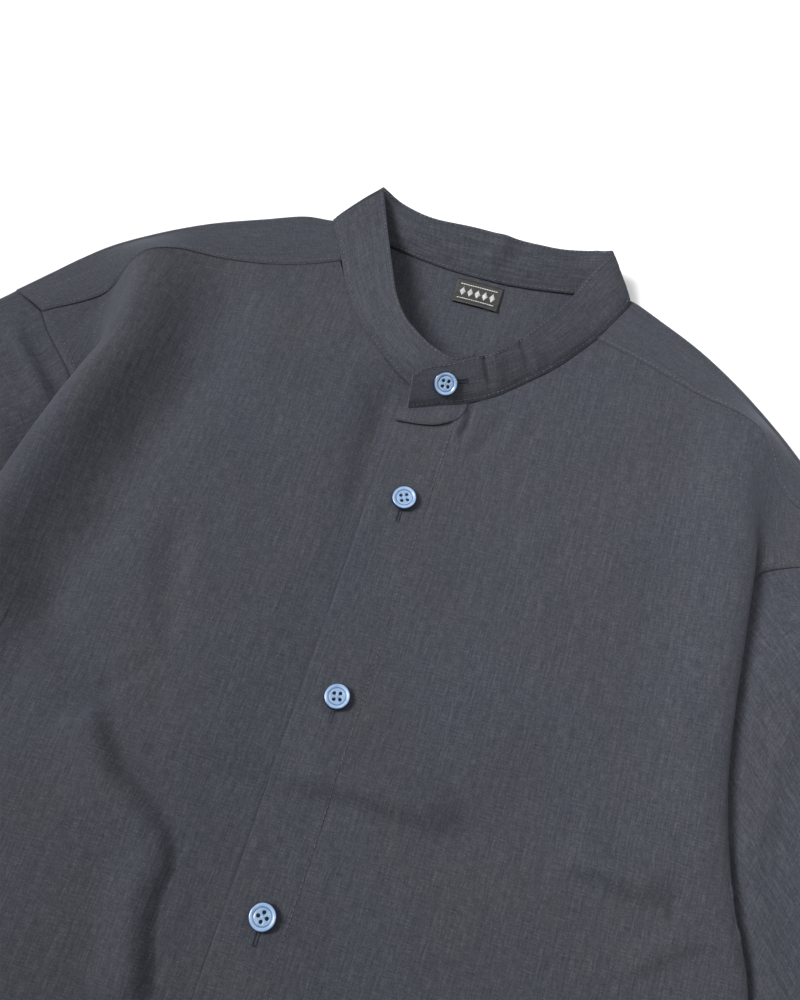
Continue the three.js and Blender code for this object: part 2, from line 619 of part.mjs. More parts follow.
function sleeveGrid(side) {
  const armhole = armholeCurve(side);
  const start = armhole.getPointAt(0);
  const end = armhole.getPointAt(1);
  const shares = armholeShares(armhole);
  const outer = planCurve([[start.x * side.sign, start.y], ...SLEEVE_OUTER], side.sign);
  const inner = planCurve([[end.x * side.sign, end.y], ...SLEEVE_INNER], side.sign);
  const grid = [];
  for (let j = 0; j <= SLEEVE_RINGS; j++) {
    const v = Math.pow(j / SLEEVE_RINGS, 1.15);
    const a = outer.getPointAt(v);
    const b = inner.getPointAt(v);
    const width = a.distanceTo(b);
    const keep = 1 - smoothstep(v, 0, 0.4);
    const row = ringPlaces(width, SLEEVE_ROLL, shares).map(({ s, level }) => {
      const u = s / width;
      const arm = armhole.getPointAt(u);
      const straight = start.clone().lerp(end, u);
      const p = a.clone().lerp(b, u);
      const x = p.x + keep * (arm.x - straight.x);
      const y = p.y + keep * (arm.y - straight.y);
      const height = underRoll(side, x, y, sleeveHeight(u, v, armhole));
      return new THREE.Vector3(x, y, height * (level + 1) / 2);
    });
    grid.push(row);
  }
  return grid;
}

for (const side of SIDES) {
  const geometry = wall(sleeveGrid(side), CLOTH, side.sign, true);
  add(`sleeve_${side.name}`, geometry, clothMaterial(`cloth_sleeve_${side.name}`));
}

// Cuffs: a flat band round the wrist, its end lapped on top and buttoned
const CUFF_LAP = [58, 76];
const CUFF_STEPS = 2;
function cuffFrame(side) {
  const outer = SLEEVE_OUTER[SLEEVE_OUTER.length - 1];
  const inner = SLEEVE_INNER[SLEEVE_INNER.length - 1];
  const a = new THREE.Vector3(outer[0] * side.sign, outer[1], 0);
  const b = new THREE.Vector3(inner[0] * side.sign, inner[1], 0);
  const across = b.clone().sub(a).normalize();
  const down = new THREE.Vector3(-across.y * side.sign, across.x * side.sign, 0);
  return { a, across, down, width: a.distanceTo(b) };
}

function cuffPath(width) {
  const h = CUFF_HEIGHT;
  const r = h / 2;
  const low = h - BAND_CLOTH - 0.6;
  const path = [[CUFF_LAP[0], low], [CUFF_LAP[1], low], [CUFF_LAP[1] + 10, h], [width - r, h]];
  const turn = (middle, way, share) => {
    const angle = Math.PI * share;
    path.push([middle + way * r * Math.sin(angle), r + r * Math.cos(angle)]);
  };
  for (const share of [0.33, 0.66]) turn(width - r, 1, share);
  path.push([width - r, 0], [width / 2, 0], [r, 0]);
  for (const share of [0.66, 0.33]) turn(r, -1, share);
  path.push([r, h], [CUFF_LAP[1] - 38, h], [CUFF_LAP[1] - 0.5, h]);
  return path;
}

function cuffGrid(side) {
  const { a, across, down, width } = cuffFrame(side);
  const path = cuffPath(width);
  const grid = [];
  for (let j = 0; j <= CUFF_STEPS; j++) {
    const along = lerp(SEAM_GAP, CUFF_LENGTH, j / CUFF_STEPS);
    const start = a.clone().addScaledVector(down, along);
    grid.push(path.map(([s, z]) => start.clone().addScaledVector(across, s).setZ(z)));
  }
  return grid;
}

for (const side of SIDES) {
  const geometry = wall(cuffGrid(side), BAND_CLOTH, side.sign);
  add(`cuff_${side.name}`, geometry, clothMaterial(`cloth_cuff_${side.name}`));
}

// Neck label, sewn flat inside the yoke
function labelGeometry() {
  const rise = [0, 0.05, 0.2, 1.1];
  const grid = rise.map((z, j) => {
    const y = LABEL.topY - LABEL.depth * j / (rise.length - 1);
    return [-1, 0, 1].map((side) => new THREE.Vector3(
      LABEL.centerX + side * LABEL.width / 2, y, CLOTH + SEAM_GAP + LABEL.thickness + z));
  });
  return wall(grid, LABEL.thickness, -1);
}
add("label", labelGeometry(), labelMaterial());

// Buttons: a turned disc with a raised rim and four holes
const BUTTON_SEGMENTS = 16;
const HOLE = { radius: 0.85, offset: 1.35, sides: 5 };
function buttonGeometry() {
  const r = BUTTON_DIAMETER / 2;
  const profile = [
    [0, 0], [r * 0.72, 0], [r, 1.2], [r * 0.94, 2.4], [r * 0.8, 2.3], [r * 0.66, 1.8], [0, 1.8],
  ];
  const lathe = new THREE.LatheGeometry(profile.map(([x, y]) => new THREE.Vector2(x, y)), BUTTON_SEGMENTS);
  let solid = toSolid(lathe.rotateX(Math.PI / 2));
  for (const sx of [-1, 1]) {
    for (const sy of [-1, 1]) {
      const hole = new THREE.CylinderGeometry(HOLE.radius, HOLE.radius, 8, HOLE.sides).rotateX(Math.PI / 2);
      solid = solid.subtract(toSolid(hole.translate(sx * HOLE.offset, sy * HOLE.offset, 1)));
    }
  }
  return fromSolid(solid);
}
const buttonShape = buttonGeometry();
const BUTTON_LIFT = 0.3;

function addButton(name, point, normal) {
  const button = add(name, buttonShape, buttonMaterial());
  button.quaternion.setFromUnitVectors(new THREE.Vector3(0, 0, 1), normal);
  button.position.copy(point).addScaledVector(normal, BUTTON_LIFT);
}

// Collar button on the band's outer face, half way up
const bandFace = bandGrid[COLLAR_BUTTON_ROW];
const bandAlong = bandGrid[COLLAR_BUTTON_ROW + 1][1].clone().sub(bandGrid[COLLAR_BUTTON_ROW - 1][1]);
const bandUp = bandFace[3].clone().sub(bandFace[0]);
const bandNormal = bandAlong.cross(bandUp).normalize();
if (bandNormal.z < 0) bandNormal.negate();
const bandMiddle = bandFace[1].clone().lerp(bandFace[2], 0.5);
addButton("button_1", bandMiddle.addScaledVector(bandNormal, 0.7), bandNormal);

// Front buttons on the upper front's face
const leftSide = SIDES[1];
BUTTON_Y.forEach((y, i) => {
  const step = 6;
  const z = (dx, dy) => frontHeight(leftSide, dx, y + dy);
  const slopeX = (z(step, 0) - z(-step, 0)) / 2 / step;
  const slopeY = (z(0, step) - z(0, -step)) / 2 / step;
  const normal = new THREE.Vector3(-slopeX, -slopeY, 1).normalize();
  const highest = Math.max(z(0, 0), z(step, 0) + normal.x * step, z(-step, 0) - normal.x * step);
  addButton(`button_${i + 2}`, new THREE.Vector3(0, y, highest + 0.3), normal);
});

// Cuff buttons on the laps
for (const side of SIDES) {
  const { a, across, down } = cuffFrame(side);
  const lapMiddle = (CUFF_LAP[0] + CUFF_LAP[1]) / 2;
  const place = a.clone().addScaledVector(across, lapMiddle).addScaledVector(down, CUFF_LENGTH / 2);
  addButton(`cuff_button_${side.name}`, place.setZ(CUFF_HEIGHT), new THREE.Vector3(0, 0, 1));
}

// Origin at the bottom centre of the shirt's box
shirt.updateMatrixWorld(true);
const box = new THREE.Box3();
shirt.traverse((node) => node.isMesh && box.expandByObject(node, true));
shirt.position.set(-(box.min.x + box.max.x) / 2, -(box.min.y + box.max.y) / 2, -box.min.z);

export default shirt;
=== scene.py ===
import math

import bpy
import numpy as np
from mathutils import Matrix, Vector


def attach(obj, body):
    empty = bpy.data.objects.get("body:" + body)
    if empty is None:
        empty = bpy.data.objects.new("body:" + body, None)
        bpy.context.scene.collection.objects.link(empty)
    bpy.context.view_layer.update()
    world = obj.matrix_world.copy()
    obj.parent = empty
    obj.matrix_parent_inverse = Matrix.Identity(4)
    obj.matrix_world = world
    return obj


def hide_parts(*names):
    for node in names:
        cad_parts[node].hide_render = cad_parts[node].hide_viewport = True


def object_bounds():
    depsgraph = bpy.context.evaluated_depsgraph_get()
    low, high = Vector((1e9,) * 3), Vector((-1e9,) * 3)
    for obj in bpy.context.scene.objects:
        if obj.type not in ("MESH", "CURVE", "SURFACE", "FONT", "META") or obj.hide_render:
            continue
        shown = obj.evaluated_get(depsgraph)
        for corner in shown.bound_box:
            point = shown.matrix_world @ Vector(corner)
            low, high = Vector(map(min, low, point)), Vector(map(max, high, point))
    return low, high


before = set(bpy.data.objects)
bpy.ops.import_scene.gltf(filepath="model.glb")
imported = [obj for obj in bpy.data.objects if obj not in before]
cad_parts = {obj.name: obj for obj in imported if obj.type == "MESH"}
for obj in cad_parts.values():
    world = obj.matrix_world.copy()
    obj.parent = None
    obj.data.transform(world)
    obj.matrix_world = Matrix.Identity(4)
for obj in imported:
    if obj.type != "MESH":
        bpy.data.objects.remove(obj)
CAD_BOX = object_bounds()

# A mandarin collar shirt laid flat. Sizes are in millimetres in the shirt's own working frame:
# x to the wearer's left, y towards the collar, z up, zero on the floor under the collar button.
# They become metres in the part's frame where a mesh is made.
MM = 0.001
COLLAR_TOP_Y = 104.0
ZERO = np.array([0.0, CAD_BOX[1][1] - COLLAR_TOP_Y * MM, 0.0])
RIGHT, LEFT = "right", "left"
SIGN = {RIGHT: -1.0, LEFT: 1.0}

# Cloth and seams
CLOTH = 0.7
BACK_CLOTH = 1.05
FACING = 1.5
BAND_CLOTH = 1.5
LAP_HALF = 17.5
FACING_WIDTH = 30.0
LAP_DROP = 2.3
HEM_Y = -675.0
HEM_RISE = 45.0
BACK_HEM_DROP = 12.0
YOKE_DEPTH_Y = -75.0
CUFF_LENGTH = 60.0
CUFF_HEIGHT = 9.0
BUTTON_Y = [-68.0, -172.0, -272.0, -375.0, -478.0, -581.0]

# Height of the fronts' upper face over the floor: y, z
LOFT = [(110, 4.5), (85, 5), (60, 7), (30, 8.6), (0, 9.8), (-70, 10.5), (-170, 10), (-280, 9.2),
        (-400, 8.2), (-550, 7.5), (-700, 7)]

# Neck edge and forward shoulder seam of each front, x outwards: x, y
TOP_EDGE = {
    RIGHT: {
        "neck": [(-17.5, -1), (-5, -6), (8, -6.5), (20, -1.5), (38, 11), (52, 23), (60, 33.4),
                 (69, 47), (77, 60)],
        "seam": [(77, 60), (92, 53), (115, 45.5), (137, 42), (160, 38.5), (176, 32)],
    },
    LEFT: {
        "neck": [(-17.5, -19), (-13, -17.2), (2, -11), (16, -5), (29.6, 4.2), (42.4, 17),
                 (55, 31), (63, 42.5), (70, 53)],
        "seam": [(70, 53), (94.5, 46.5), (112, 41), (129, 35), (148, 30), (162, 24)],
    },
}

# Lengthwise fold of each front, x outwards: ridge x, y, z, rim x, z, under x, z, seam x, y, z
FOLD = {
    RIGHT: [
        (176, 32, 15, 183, 13, 191, 9, 219, -20, 8),
        (169, 2, 22, 177, 18, 188, 8.5, 210, -31, 8),
        (166, -28, 26, 175, 21, 181, 9, 196, -44, 7.5),
        (170, -50, 28, 180, 22, 177, 10, 184, -57, 6.5),
        (176, -80, 28, 187, 21, 178, 10.5, 170, -84, 5.5),
        (182, -111, 26, 193, 19, 182, 10.5, 164, -116, 5),
        (188, -150, 24, 198, 18, 184, 10, 162, -160, 5),
        (193, -190, 21, 202, 16, 187, 9.5, 164, -200, 4.5),
        (198, -232, 18, 206, 13, 192, 8, 172, -236, 3.2),
        (206, -330, 14, 213, 9, 210, 4.5, 199, -330, 1.7),
        (232, -460, 10, 240, 6, 239, 3, 233, -460, 1.7),
        (254, -560, 9, 262, 5.5, 261, 2.8, 256, -560, 1.7),
        (266, -630, 8, 274, 5, 273, 2.6, 268, -630, 1.7),
    ],
    LEFT: [
        (162, 24, 13, 168, 12, 180, 8.5, 214, -26, 8),
        (159, 2, 16, 166, 13, 178, 8, 204, -40, 8),
        (162, -28, 18, 168, 14, 175, 8, 190, -45, 7.5),
        (165, -48, 18, 172, 13.5, 171, 8.5, 175, -54, 6.5),
        (167, -80, 18, 174, 13, 168, 9, 162, -84, 5.5),
        (169, -121, 17, 176, 12.5, 169, 9, 156, -126, 5),
        (174, -160, 17, 180, 12.5, 172, 9, 156, -166, 4.8),
        (183, -199, 16, 190, 12, 181, 8.5, 162, -206, 4.4),
        (197, -240, 15, 204, 11, 196, 7.5, 176, -242, 3.2),
        (208, -330, 12, 215, 8, 212, 4.5, 201, -330, 1.7),
        (232, -460, 10, 240, 6, 239, 3, 233, -460, 1.7),
        (254, -560, 9, 262, 5.5, 261, 2.8, 256, -560, 1.7),
        (266, -630, 8, 274, 5, 273, 2.6, 268, -630, 1.7),
    ],
}
RIDGE_SOFTNESS = {RIGHT: 21.0, LEFT: 28.0}
UNDERARM_ROW = 8

# Valley beside each ridge, on its inner side: distance inside, width, depth, from y, to y
VALLEY = {RIGHT: (42.0, 17.0, 5.0, 20.0, -190.0), LEFT: (32.0, 13.0, 0.8, 10.0, -190.0)}

# Bulges of the fronts, which roll over and end at a sharp foot: path of the foot with the bulge
# on its left, height, reach and share of the length over which each end fades
BULGES = [
    ([(-31, -325), (-43, -291), (-45, -278), (-44, -266), (-47, -256), (-54, -247), (-66, -239), (-80, -231),
      (-89, -222), (-97, -212), (-104, -201)], 7.6, 9.5, 0.12),
    ([(-104, -206), (-96, -203), (-84, -195), (-75, -186), (-72, -178)], 2.4, 9, 0.25),
    ([(-84, -220), (-58, -218.5), (-30, -218.5), (-7, -219), (16, -216)], 3.2, 15, 0.3),
    ([(-14, -219), (17, -217.5), (37, -217), (57, -218), (76, -217)], 7.0, 10, 0.25),
    ([(112, -216), (132, -217), (146, -218), (157, -217.5), (169, -217.5)], 6.0, 8, 0.3),
    ([(150, -254), (164, -244), (172, -236), (181, -230), (192, -225)], 3.0, 6, 0.35),
]

# Broad folds of the fronts: path, height, width and fade
FOLDS = [
    ([(-160, -158), (-140, -178), (-122, -190), (-109, -204)], -3.6, 11, 0.25),
    ([(-110, -205), (-101, -196), (-90, -186), (-79, -180)], -3.4, 6.5, 0.2),
    ([(-106, -100), (-99, -130), (-91, -157), (-81, -178)], -2.6, 8, 0.3),
    ([(-112, -212), (-96, -226), (-78, -241), (-62, -252), (-54, -263), (-51, -280),
      (-48, -300)], -1.6, 7, 0.2),
    ([(-134, -110), (-130, -140)], -1.8, 12, 0.4),
    ([(-132, -215), (-108, -262), (-96, -350)], 4.5, 40, 0.2),
    ([(92, -150), (104, -190), (112, -214)], -1.2, 13, 0.35),
    ([(-118, -60), (-88, -150), (-60, -230)], 1.0, 34, 0.3),
    ([(88, -40), (80, -120), (60, -190)], 1.0, 34, 0.3),
    ([(30, -300), (62, -400), (70, -520)], 1.8, 34, 0.3),
    ([(-120, -360), (-104, -460), (-112, -590)], 2, 32, 0.3),
    ([(150, -430), (176, -540), (182, -640)], -1.6, 26, 0.3),
]

# Finer creases, laid the same way
CREASES = [
    ([(17.4, -5.3), (18.6, -16.4), (17.4, -29)], -2.1, 1.8, 0.25),
    ([(14, -6), (15.2, -16), (13.5, -27)], 1.0, 2.4, 0.3),
    ([(22.5, -4), (23, -15), (21, -30)], 0.9, 3.4, 0.3),
    ([(35, 0), (34.6, -9), (30, -25), (22, -41)], -1.3, 3.6, 0.3),
    ([(44, 6), (46, -8), (38, -30)], 0.7, 5, 0.3),
    ([(-37, -5), (-26, -28), (-20, -52)], -1.6, 8, 0.3),
    ([(166.6, -211), (167, -218.9), (171, -221.8), (180, -221.2), (188, -217.8),
      (196, -216)], -2.6, 2.4, 0.15),
    ([(174, -226), (184, -225), (196, -221)], 1.6, 3.2, 0.3),
    ([(174, -198), (182, -199), (183, -202), (178, -206)], -1.2, 2.2, 0.3),
    ([(8, -68), (30, -74), (52, -84)], -0.6, 5, 0.4),
    ([(-22, -70), (-44, -80)], -0.6, 5, 0.4),
    ([(12, -172), (34, -176), (58, -186)], -0.6, 6, 0.4),
    ([(-22, -176), (-50, -192)], -0.7, 6, 0.4),
    ([(-150, 18), (-140, -10), (-138, -40)], -1.0, 9, 0.4),
    ([(96, 44), (104, 10), (104, -30)], 0.7, 10, 0.4),
    ([(130, 32), (134, 4), (128, -40)], -0.8, 9, 0.4),
    ([(-95, 48), (-100, 20), (-96, -20)], 0.6, 10, 0.4),
    ([(-30, -380), (-70, -400), (-110, -392)], -1.4, 10, 0.35),
    ([(30, -470), (80, -486), (130, -480)], -1.5, 11, 0.35),
    ([(-60, -520), (-100, -560), (-130, -610)], -1.3, 10, 0.35),
]

# Outline of each shoulder's fold from the neck to the shoulder point, x outwards
SHOULDER = {
    RIGHT: [(92, 85), (105, 83.5), (126, 75), (152, 64), (168, 55.5), (184, 45.5), (201, 33), (214, 20),
            (227, 5), (240, -10)],
    LEFT: [(84, 83), (102, 75), (124, 64), (144, 51), (161, 38), (176, 25), (190, 12), (205, 2), (224, -5),
           (240, -12)],
}
SHOULDER_ROLL = 3.2
SHOULDER_STRIP = 14.0

# Back of the neck, where the band stands on the yoke: x, y
BACK_NECK = [(-88, 79), (-70, 80), (-54, 77.5), (-36, 74.5), (-10, 72), (16, 72.5), (33, 74.5), (50, 77.5),
             (66, 79), (80, 77)]

# Band from its under end, by the wearer's right and the back, to its upper end: foot and top edge
BAND = [
    ((15, -1.5, 9.6), (11.9, 17, 20.8)), ((5, -7, 9.4), (1.6, 11.3, 21.2)),
    ((-8, -7.5, 9.8), (-9.7, 14.1, 21.6)), ((-20, -2.4, 11.4), (-18.8, 18.9, 22.2)),
    ((-37.7, 10.2, 11), (-28.9, 27.2, 21.2)), ((-51.6, 22, 10.6), (-37.9, 39.9, 20)),
    ((-60, 32.4, 10.1), (-43.9, 52.8, 19)), ((-69.4, 46.8, 9.4), (-50.4, 67.8, 18)),
    ((-78.5, 65.2, 9), (-57.8, 85.3, 16.5)), ((-86, 78, 9), (-63.1, 97.9, 19)),
    ((-88.5, 84, 8.8), (-65.8, 104, 20)), ((-82, 85.5, 8.2), (-62.6, 103.4, 18.4)),
    ((-66, 82, 3.2), (-54.4, 101.7, 13.6)), ((-36, 76.5, 2.2), (-36.3, 96.7, 14.1)),
    ((-10, 74, 2.2), (-9.8, 97.1, 14.6)), ((16, 74.5, 2.2), (16.9, 96.6, 14.6)),
    ((33, 76.5, 2.2), (37.4, 97.7, 14.1)), ((58, 80.5, 3.2), (53.8, 101.7, 13.6)),
    ((75, 83.5, 8.2), (62, 100.5, 18.8)), ((81, 82, 8.8), (65.3, 100.5, 20)),
    ((80, 75, 9), (62, 92.9, 19.4)), ((76, 65.9, 9.2), (56.9, 84.3, 16.6)),
    ((69.6, 52.1, 9.6), (51.3, 67.7, 18)), ((62.9, 41.7, 10.2), (44.7, 54, 19.4)),
    ((54.9, 29.8, 10.6), (38.5, 43.3, 20.5)), ((42.4, 15.9, 11.2), (30.3, 29.5, 21.9)),
    ((29.6, 3.3, 11.6), (21.5, 19.6, 22.8)), ((16.1, -5.8, 12), (12.5, 13.3, 23.5)),
    ((1.8, -12.1, 12.2), (1.5, 6.1, 23.9)), ((-8, -16.3, 12.2), (-8.7, 0.5, 23.9)),
    ((-13.5, -18.4, 12.2), (-14.6, -5.9, 22.6)),
]
COLLAR_BUTTON_STATION = 28.0

# Sleeve edges from the armhole to the cuff, x outwards, and the sleeve's height along its length
SLEEVE_OUTER = [(275, -53), (311, -112), (342, -182), (374, -268), (404, -370), (432, -480)]
SLEEVE_INNER = [(208, -304), (248, -378), (288, -450), (318, -510)]
SLEEVE_LOFT = [(0, 8), (0.12, 9.5), (0.35, 11), (0.7, 9.5), (1, 9)]
SLEEVE_ROLL = 4.0
ROLL_CLEARANCE = 2.6

# Puckers of the sleeves: place along, place across, height, length, width
PUCKERS = [
    (0.06, 0.28, 3.2, 0.07, 0.12), (0.12, 0.4, -2.4, 0.035, 0.16), (0.2, 0.25, 2, 0.05, 0.24),
    (0.42, 0.7, -2, 0.03, 0.22), (0.5, 0.55, 2, 0.05, 0.26), (0.74, 0.6, -1.6, 0.03, 0.24),
    (0.9, 0.4, 1.6, 0.05, 0.2),
]

# Folds of the sleeve's top near the armhole, as the fronts' ones
SLEEVE_FOLDS = {
    RIGHT: [
        ([(-233, -30), (-226, -38), (-209, -53), (-190, -71)], 3.4, 4, 0.25),
        ([(-216, -38), (-198, -54), (-187, -68)], -2.6, 5, 0.3),
        ([(-206, -84), (-196, -92), (-190, -104)], -2.8, 8, 0.3),
    ],
    LEFT: [
        ([(206, -100), (199, -150), (194, -187), (192, -210)], 2.4, 6, 0.3),
        ([(212, -170), (222, -220), (240, -280)], -1.6, 9, 0.3),
    ],
}

# Label inside the back of the neck
LABEL_X, LABEL_TOP_Y = 1.0, 71.0
LABEL_WIDTH, LABEL_DEPTH = 26.0, 15.0
LABEL_CLOTH = 0.45

# Camera: where the picture's centre lies on the floor, tilt from straight down and turn of the
# picture against the shirt, as worked out from the row of buttons
PICTURE_CENTRE = (-3.3, -64.5)
CAMERA_TILT = math.radians(23.0)
CAMERA_TURN = math.radians(17.37)
CAMERA_HEIGHT = 525.3
FOCAL_PIXELS = 1126.0
PICTURE_HEIGHT_PIXELS = 1000.0
SENSOR = 36.0


# Number helpers
def smoothstep(x, start, stop):
    t = np.clip((x - start) / (stop - start), 0.0, 1.0)
    return t * t * (3.0 - 2.0 * t)


def bell(x):
    return np.exp(-np.square(x))


def lerp(a, b, t):
    return a + (b - a) * t


def curve_through(keys, values):
    """Smooth curve through table points, held level past both ends."""
    k = np.array(keys, float)
    v = np.array(values, float)
    if k[0] > k[-1]:
        k, v = k[::-1], v[::-1]
    n = np.arange(len(k))
    before = np.maximum(n - 1, 0)
    after = np.minimum(n + 1, len(k) - 1)
    slope = (v[after] - v[before]) / (k[after] - k[before])

    def at(x):
        x = np.clip(x, k[0], k[-1])
        i = np.clip(np.searchsorted(k, x, side="right") - 1, 0, len(k) - 2)
        span = k[i + 1] - k[i]
        t = (x - k[i]) / span
        t2, t3 = t * t, t * t * t
        return ((2 * t3 - 3 * t2 + 1) * v[i] + (t3 - 2 * t2 + t) * span * slope[i]
                + (3 * t2 - 2 * t3) * v[i + 1] + (t3 - t2) * span * slope[i + 1])
    return at


def spline(points, shares):
    """Centripetal spline through points (rows, points, 3), taken at shares of its point count."""
    p = np.asarray(points, float)
    flat = p.ndim == 2
    if flat:
        p = p[None]
    first = 2 * p[:, :1] - p[:, 1:2]
    last = 2 * p[:, -1:] - p[:, -2:-1]
    p = np.concatenate([first, p, last], axis=1)
    at = np.clip(np.asarray(shares, float), 0, 1) * (p.shape[1] - 3)
    i = np.minimum(at.astype(int), p.shape[1] - 4)
    t = (at - i)[None, :, None]
    p0, p1, p2, p3 = (p[:, i + n] for n in range(4))
    d0, d1, d2 = (np.maximum(np.linalg.norm(b - a, axis=2, keepdims=True), 1e-6) ** 0.5
                  for a, b in ((p0, p1), (p1, p2), (p2, p3)))
    m1 = ((p1 - p0) / d0 - (p2 - p0) / (d0 + d1) + (p2 - p1) / d1) * d1
    m2 = ((p2 - p1) / d1 - (p3 - p1) / (d1 + d2) + (p3 - p2) / d2) * d1
    t2, t3 = t * t, t * t * t
    out = ((2 * t3 - 3 * t2 + 1) * p1 + (t3 - 2 * t2 + t) * m1
           + (3 * t2 - 2 * t3) * p2 + (t3 - t2) * m2)
    return out[0] if flat else out


def resample(line, shares):
    """Points of a line at shares of its length."""
    run = np.concatenate([[0], np.cumsum(np.linalg.norm(np.diff(line, axis=0), axis=1))])
    at = np.asarray(shares) * run[-1]
    return np.stack([np.interp(at, run, line[:, c]) for c in range(line.shape[1])], axis=1)


LATTICE = 128
LATTICE_VALUES = np.random.RandomState(7).rand(LATTICE, LATTICE) * 2 - 1


def noise(x, y, seed=0):
    """Smooth value noise between about -1 and 1, with features one unit across."""
    x = np.asarray(x, float) + 17.3 * seed
    y = np.asarray(y, float) + 9.7 * seed
    xi, yi = np.floor(x).astype(int), np.floor(y).astype(int)
    fx, fy = x - xi, y - yi
    fx, fy = fx * fx * fx * (fx * (6 * fx - 15) + 10), fy * fy * fy * (fy * (6 * fy - 15) + 10)

    def corner(a, b):
        return LATTICE_VALUES[(xi + a) % LATTICE, (yi + b) % LATTICE]
    return lerp(lerp(corner(0, 0), corner(1, 0), fx), lerp(corner(0, 1), corner(1, 1), fx), fy)


def rumple(x, y, seed=0):
    """Slight unevenness of pressed cloth: broad waves and small ones."""
    broad = 0.55 * noise(x / 46, y / 62, seed)
    middle = 0.26 * noise(x / 19, y / 26, seed + 1)
    small = 0.07 * noise(x / 6.5, y / 9, seed + 2)
    return broad + middle + small


def path_field(path, x, y):
    """Distance to a path, and the share of its length at the nearest place."""
    best = np.full(np.shape(x), np.inf)
    share = np.zeros(np.shape(x))
    runs = [math.dist(a, b) for a, b in zip(path, path[1:])]
    done = 0.0
    for (ax, ay), (bx, by), run in zip(path, path[1:], runs):
        t = np.clip(((x - ax) * (bx - ax) + (y - ay) * (by - ay)) / run ** 2, 0, 1)
        d = np.hypot(x - ax - t * (bx - ax), y - ay - t * (by - ay))
        near = d < best
        share = np.where(near, (done + t * run) / sum(runs), share)
        best = np.where(near, d, best)
        done += run
    return best, share


def side_of(path, x, y):
    """+1 on the left of a path and -1 on its right, judged by its nearest run."""
    best = np.full(np.shape(x), np.inf)
    side = np.ones(np.shape(x))
    for (ax, ay), (bx, by) in zip(path, path[1:]):
        run = math.dist((ax, ay), (bx, by))
        t = np.clip(((x - ax) * (bx - ax) + (y - ay) * (by - ay)) / run ** 2, 0, 1)
        d = np.hypot(x - ax - t * (bx - ax), y - ay - t * (by - ay))
        here = np.where((bx - ax) * (y - ay) - (by - ay) * (x - ax) > 0, 1.0, -1.0)
        side = np.where(d < best - 1e-9, here, side)
        best = np.minimum(best, d)
    return side


def bulge_height(x, y):
    z = np.zeros(np.shape(x))
    for path, height, reach, fade in BULGES:
        d, share = path_field(path, x, y)
        s = np.where(side_of(path, x, y) > 0, d, 0) / reach
        ends = smoothstep(share, 0, fade) * smoothstep(1 - share, 0, fade)
        z += height * s * np.exp((1 - s * s) / 2) * ends
    return z


def fold_height(folds, x, y):
    z = np.zeros(np.shape(x))
    for path, height, width, fade in folds:
        d, share = path_field(path, x, y)
        ends = smoothstep(share, 0, fade) * smoothstep(1 - share, 0, fade)
        z += height * bell(d / width) * (0.25 + 0.75 * ends)
    return z


loft_at = curve_through(*zip(*LOFT))
FOLD_NAMES = ("ridge_x", "ridge_y", "ridge_z", "rim_x", "rim_z", "under_x", "under_z",
              "seam_x", "seam_y", "seam_z")
fold_at = {side: {name: curve_through([r[1] for r in rows], [r[i] for r in rows])
                  for i, name in enumerate(FOLD_NAMES)} for side, rows in FOLD.items()}


def hem_at(x):
    return HEM_Y + HEM_RISE * smoothstep(np.abs(x), 110, 262)


def front_height(side, x, y):
    """Height of a front's upper face at a plan point."""
    x, y = np.asarray(x, float), np.asarray(y, float)
    out = x * SIGN[side]
    base = loft_at(y)
    inside = fold_at[side]["ridge_x"](y) - out
    ridge = (fold_at[side]["ridge_z"](y) - base) * bell(inside / RIDGE_SOFTNESS[side])
    at, width, depth, from_y, to_y = VALLEY[side]
    along = smoothstep(y, to_y - 60, to_y) * (1 - smoothstep(y, from_y, from_y + 30))
    valley = -depth * along * bell((inside - at) / width)
    calm = 1 - 0.6 * bell(x / 22)
    folds = bulge_height(x, y) + fold_height(FOLDS, x, y) + fold_height(CREASES, x, y)
    return base + ridge + valley + folds + rumple(x, y) * calm


# Meshes
def normals_of(grid, closed=False):
    """Unit normals of a grid of points."""
    if closed:
        across = np.roll(grid, -1, axis=1) - np.roll(grid, 1, axis=1)
    else:
        across = np.gradient(grid, axis=1)
    along = np.gradient(grid, axis=0)
    n = np.cross(across, along)
    return n / np.maximum(np.linalg.norm(n, axis=2, keepdims=True), 1e-9)


def cloth_places(grid):
    """Place of each point in the flat cloth, by the lengths run along the grid's two ways."""

    def lengths(axis):
        steps = np.linalg.norm(np.diff(grid, axis=axis), axis=2)
        return np.insert(np.cumsum(steps, axis=axis), 0, 0.0, axis=axis)
    u, v = lengths(1), lengths(0)
    u -= u[:, u.shape[1] // 2][:, None]
    return np.stack([u, v], axis=2)


def smooth_columns(grid, centre, reach, passes):
    """Evens the grid across a band of columns, so that no kink stays where two shapes meet."""
    low, high = max(1, centre - reach), min(grid.shape[1] - 1, centre + reach)
    for _ in range(passes):
        middle = (grid[:, low - 1:high - 1] + 2 * grid[:, low:high] + grid[:, low + 1:high + 1]) / 4
        grid[:, low:high] = middle
    return grid


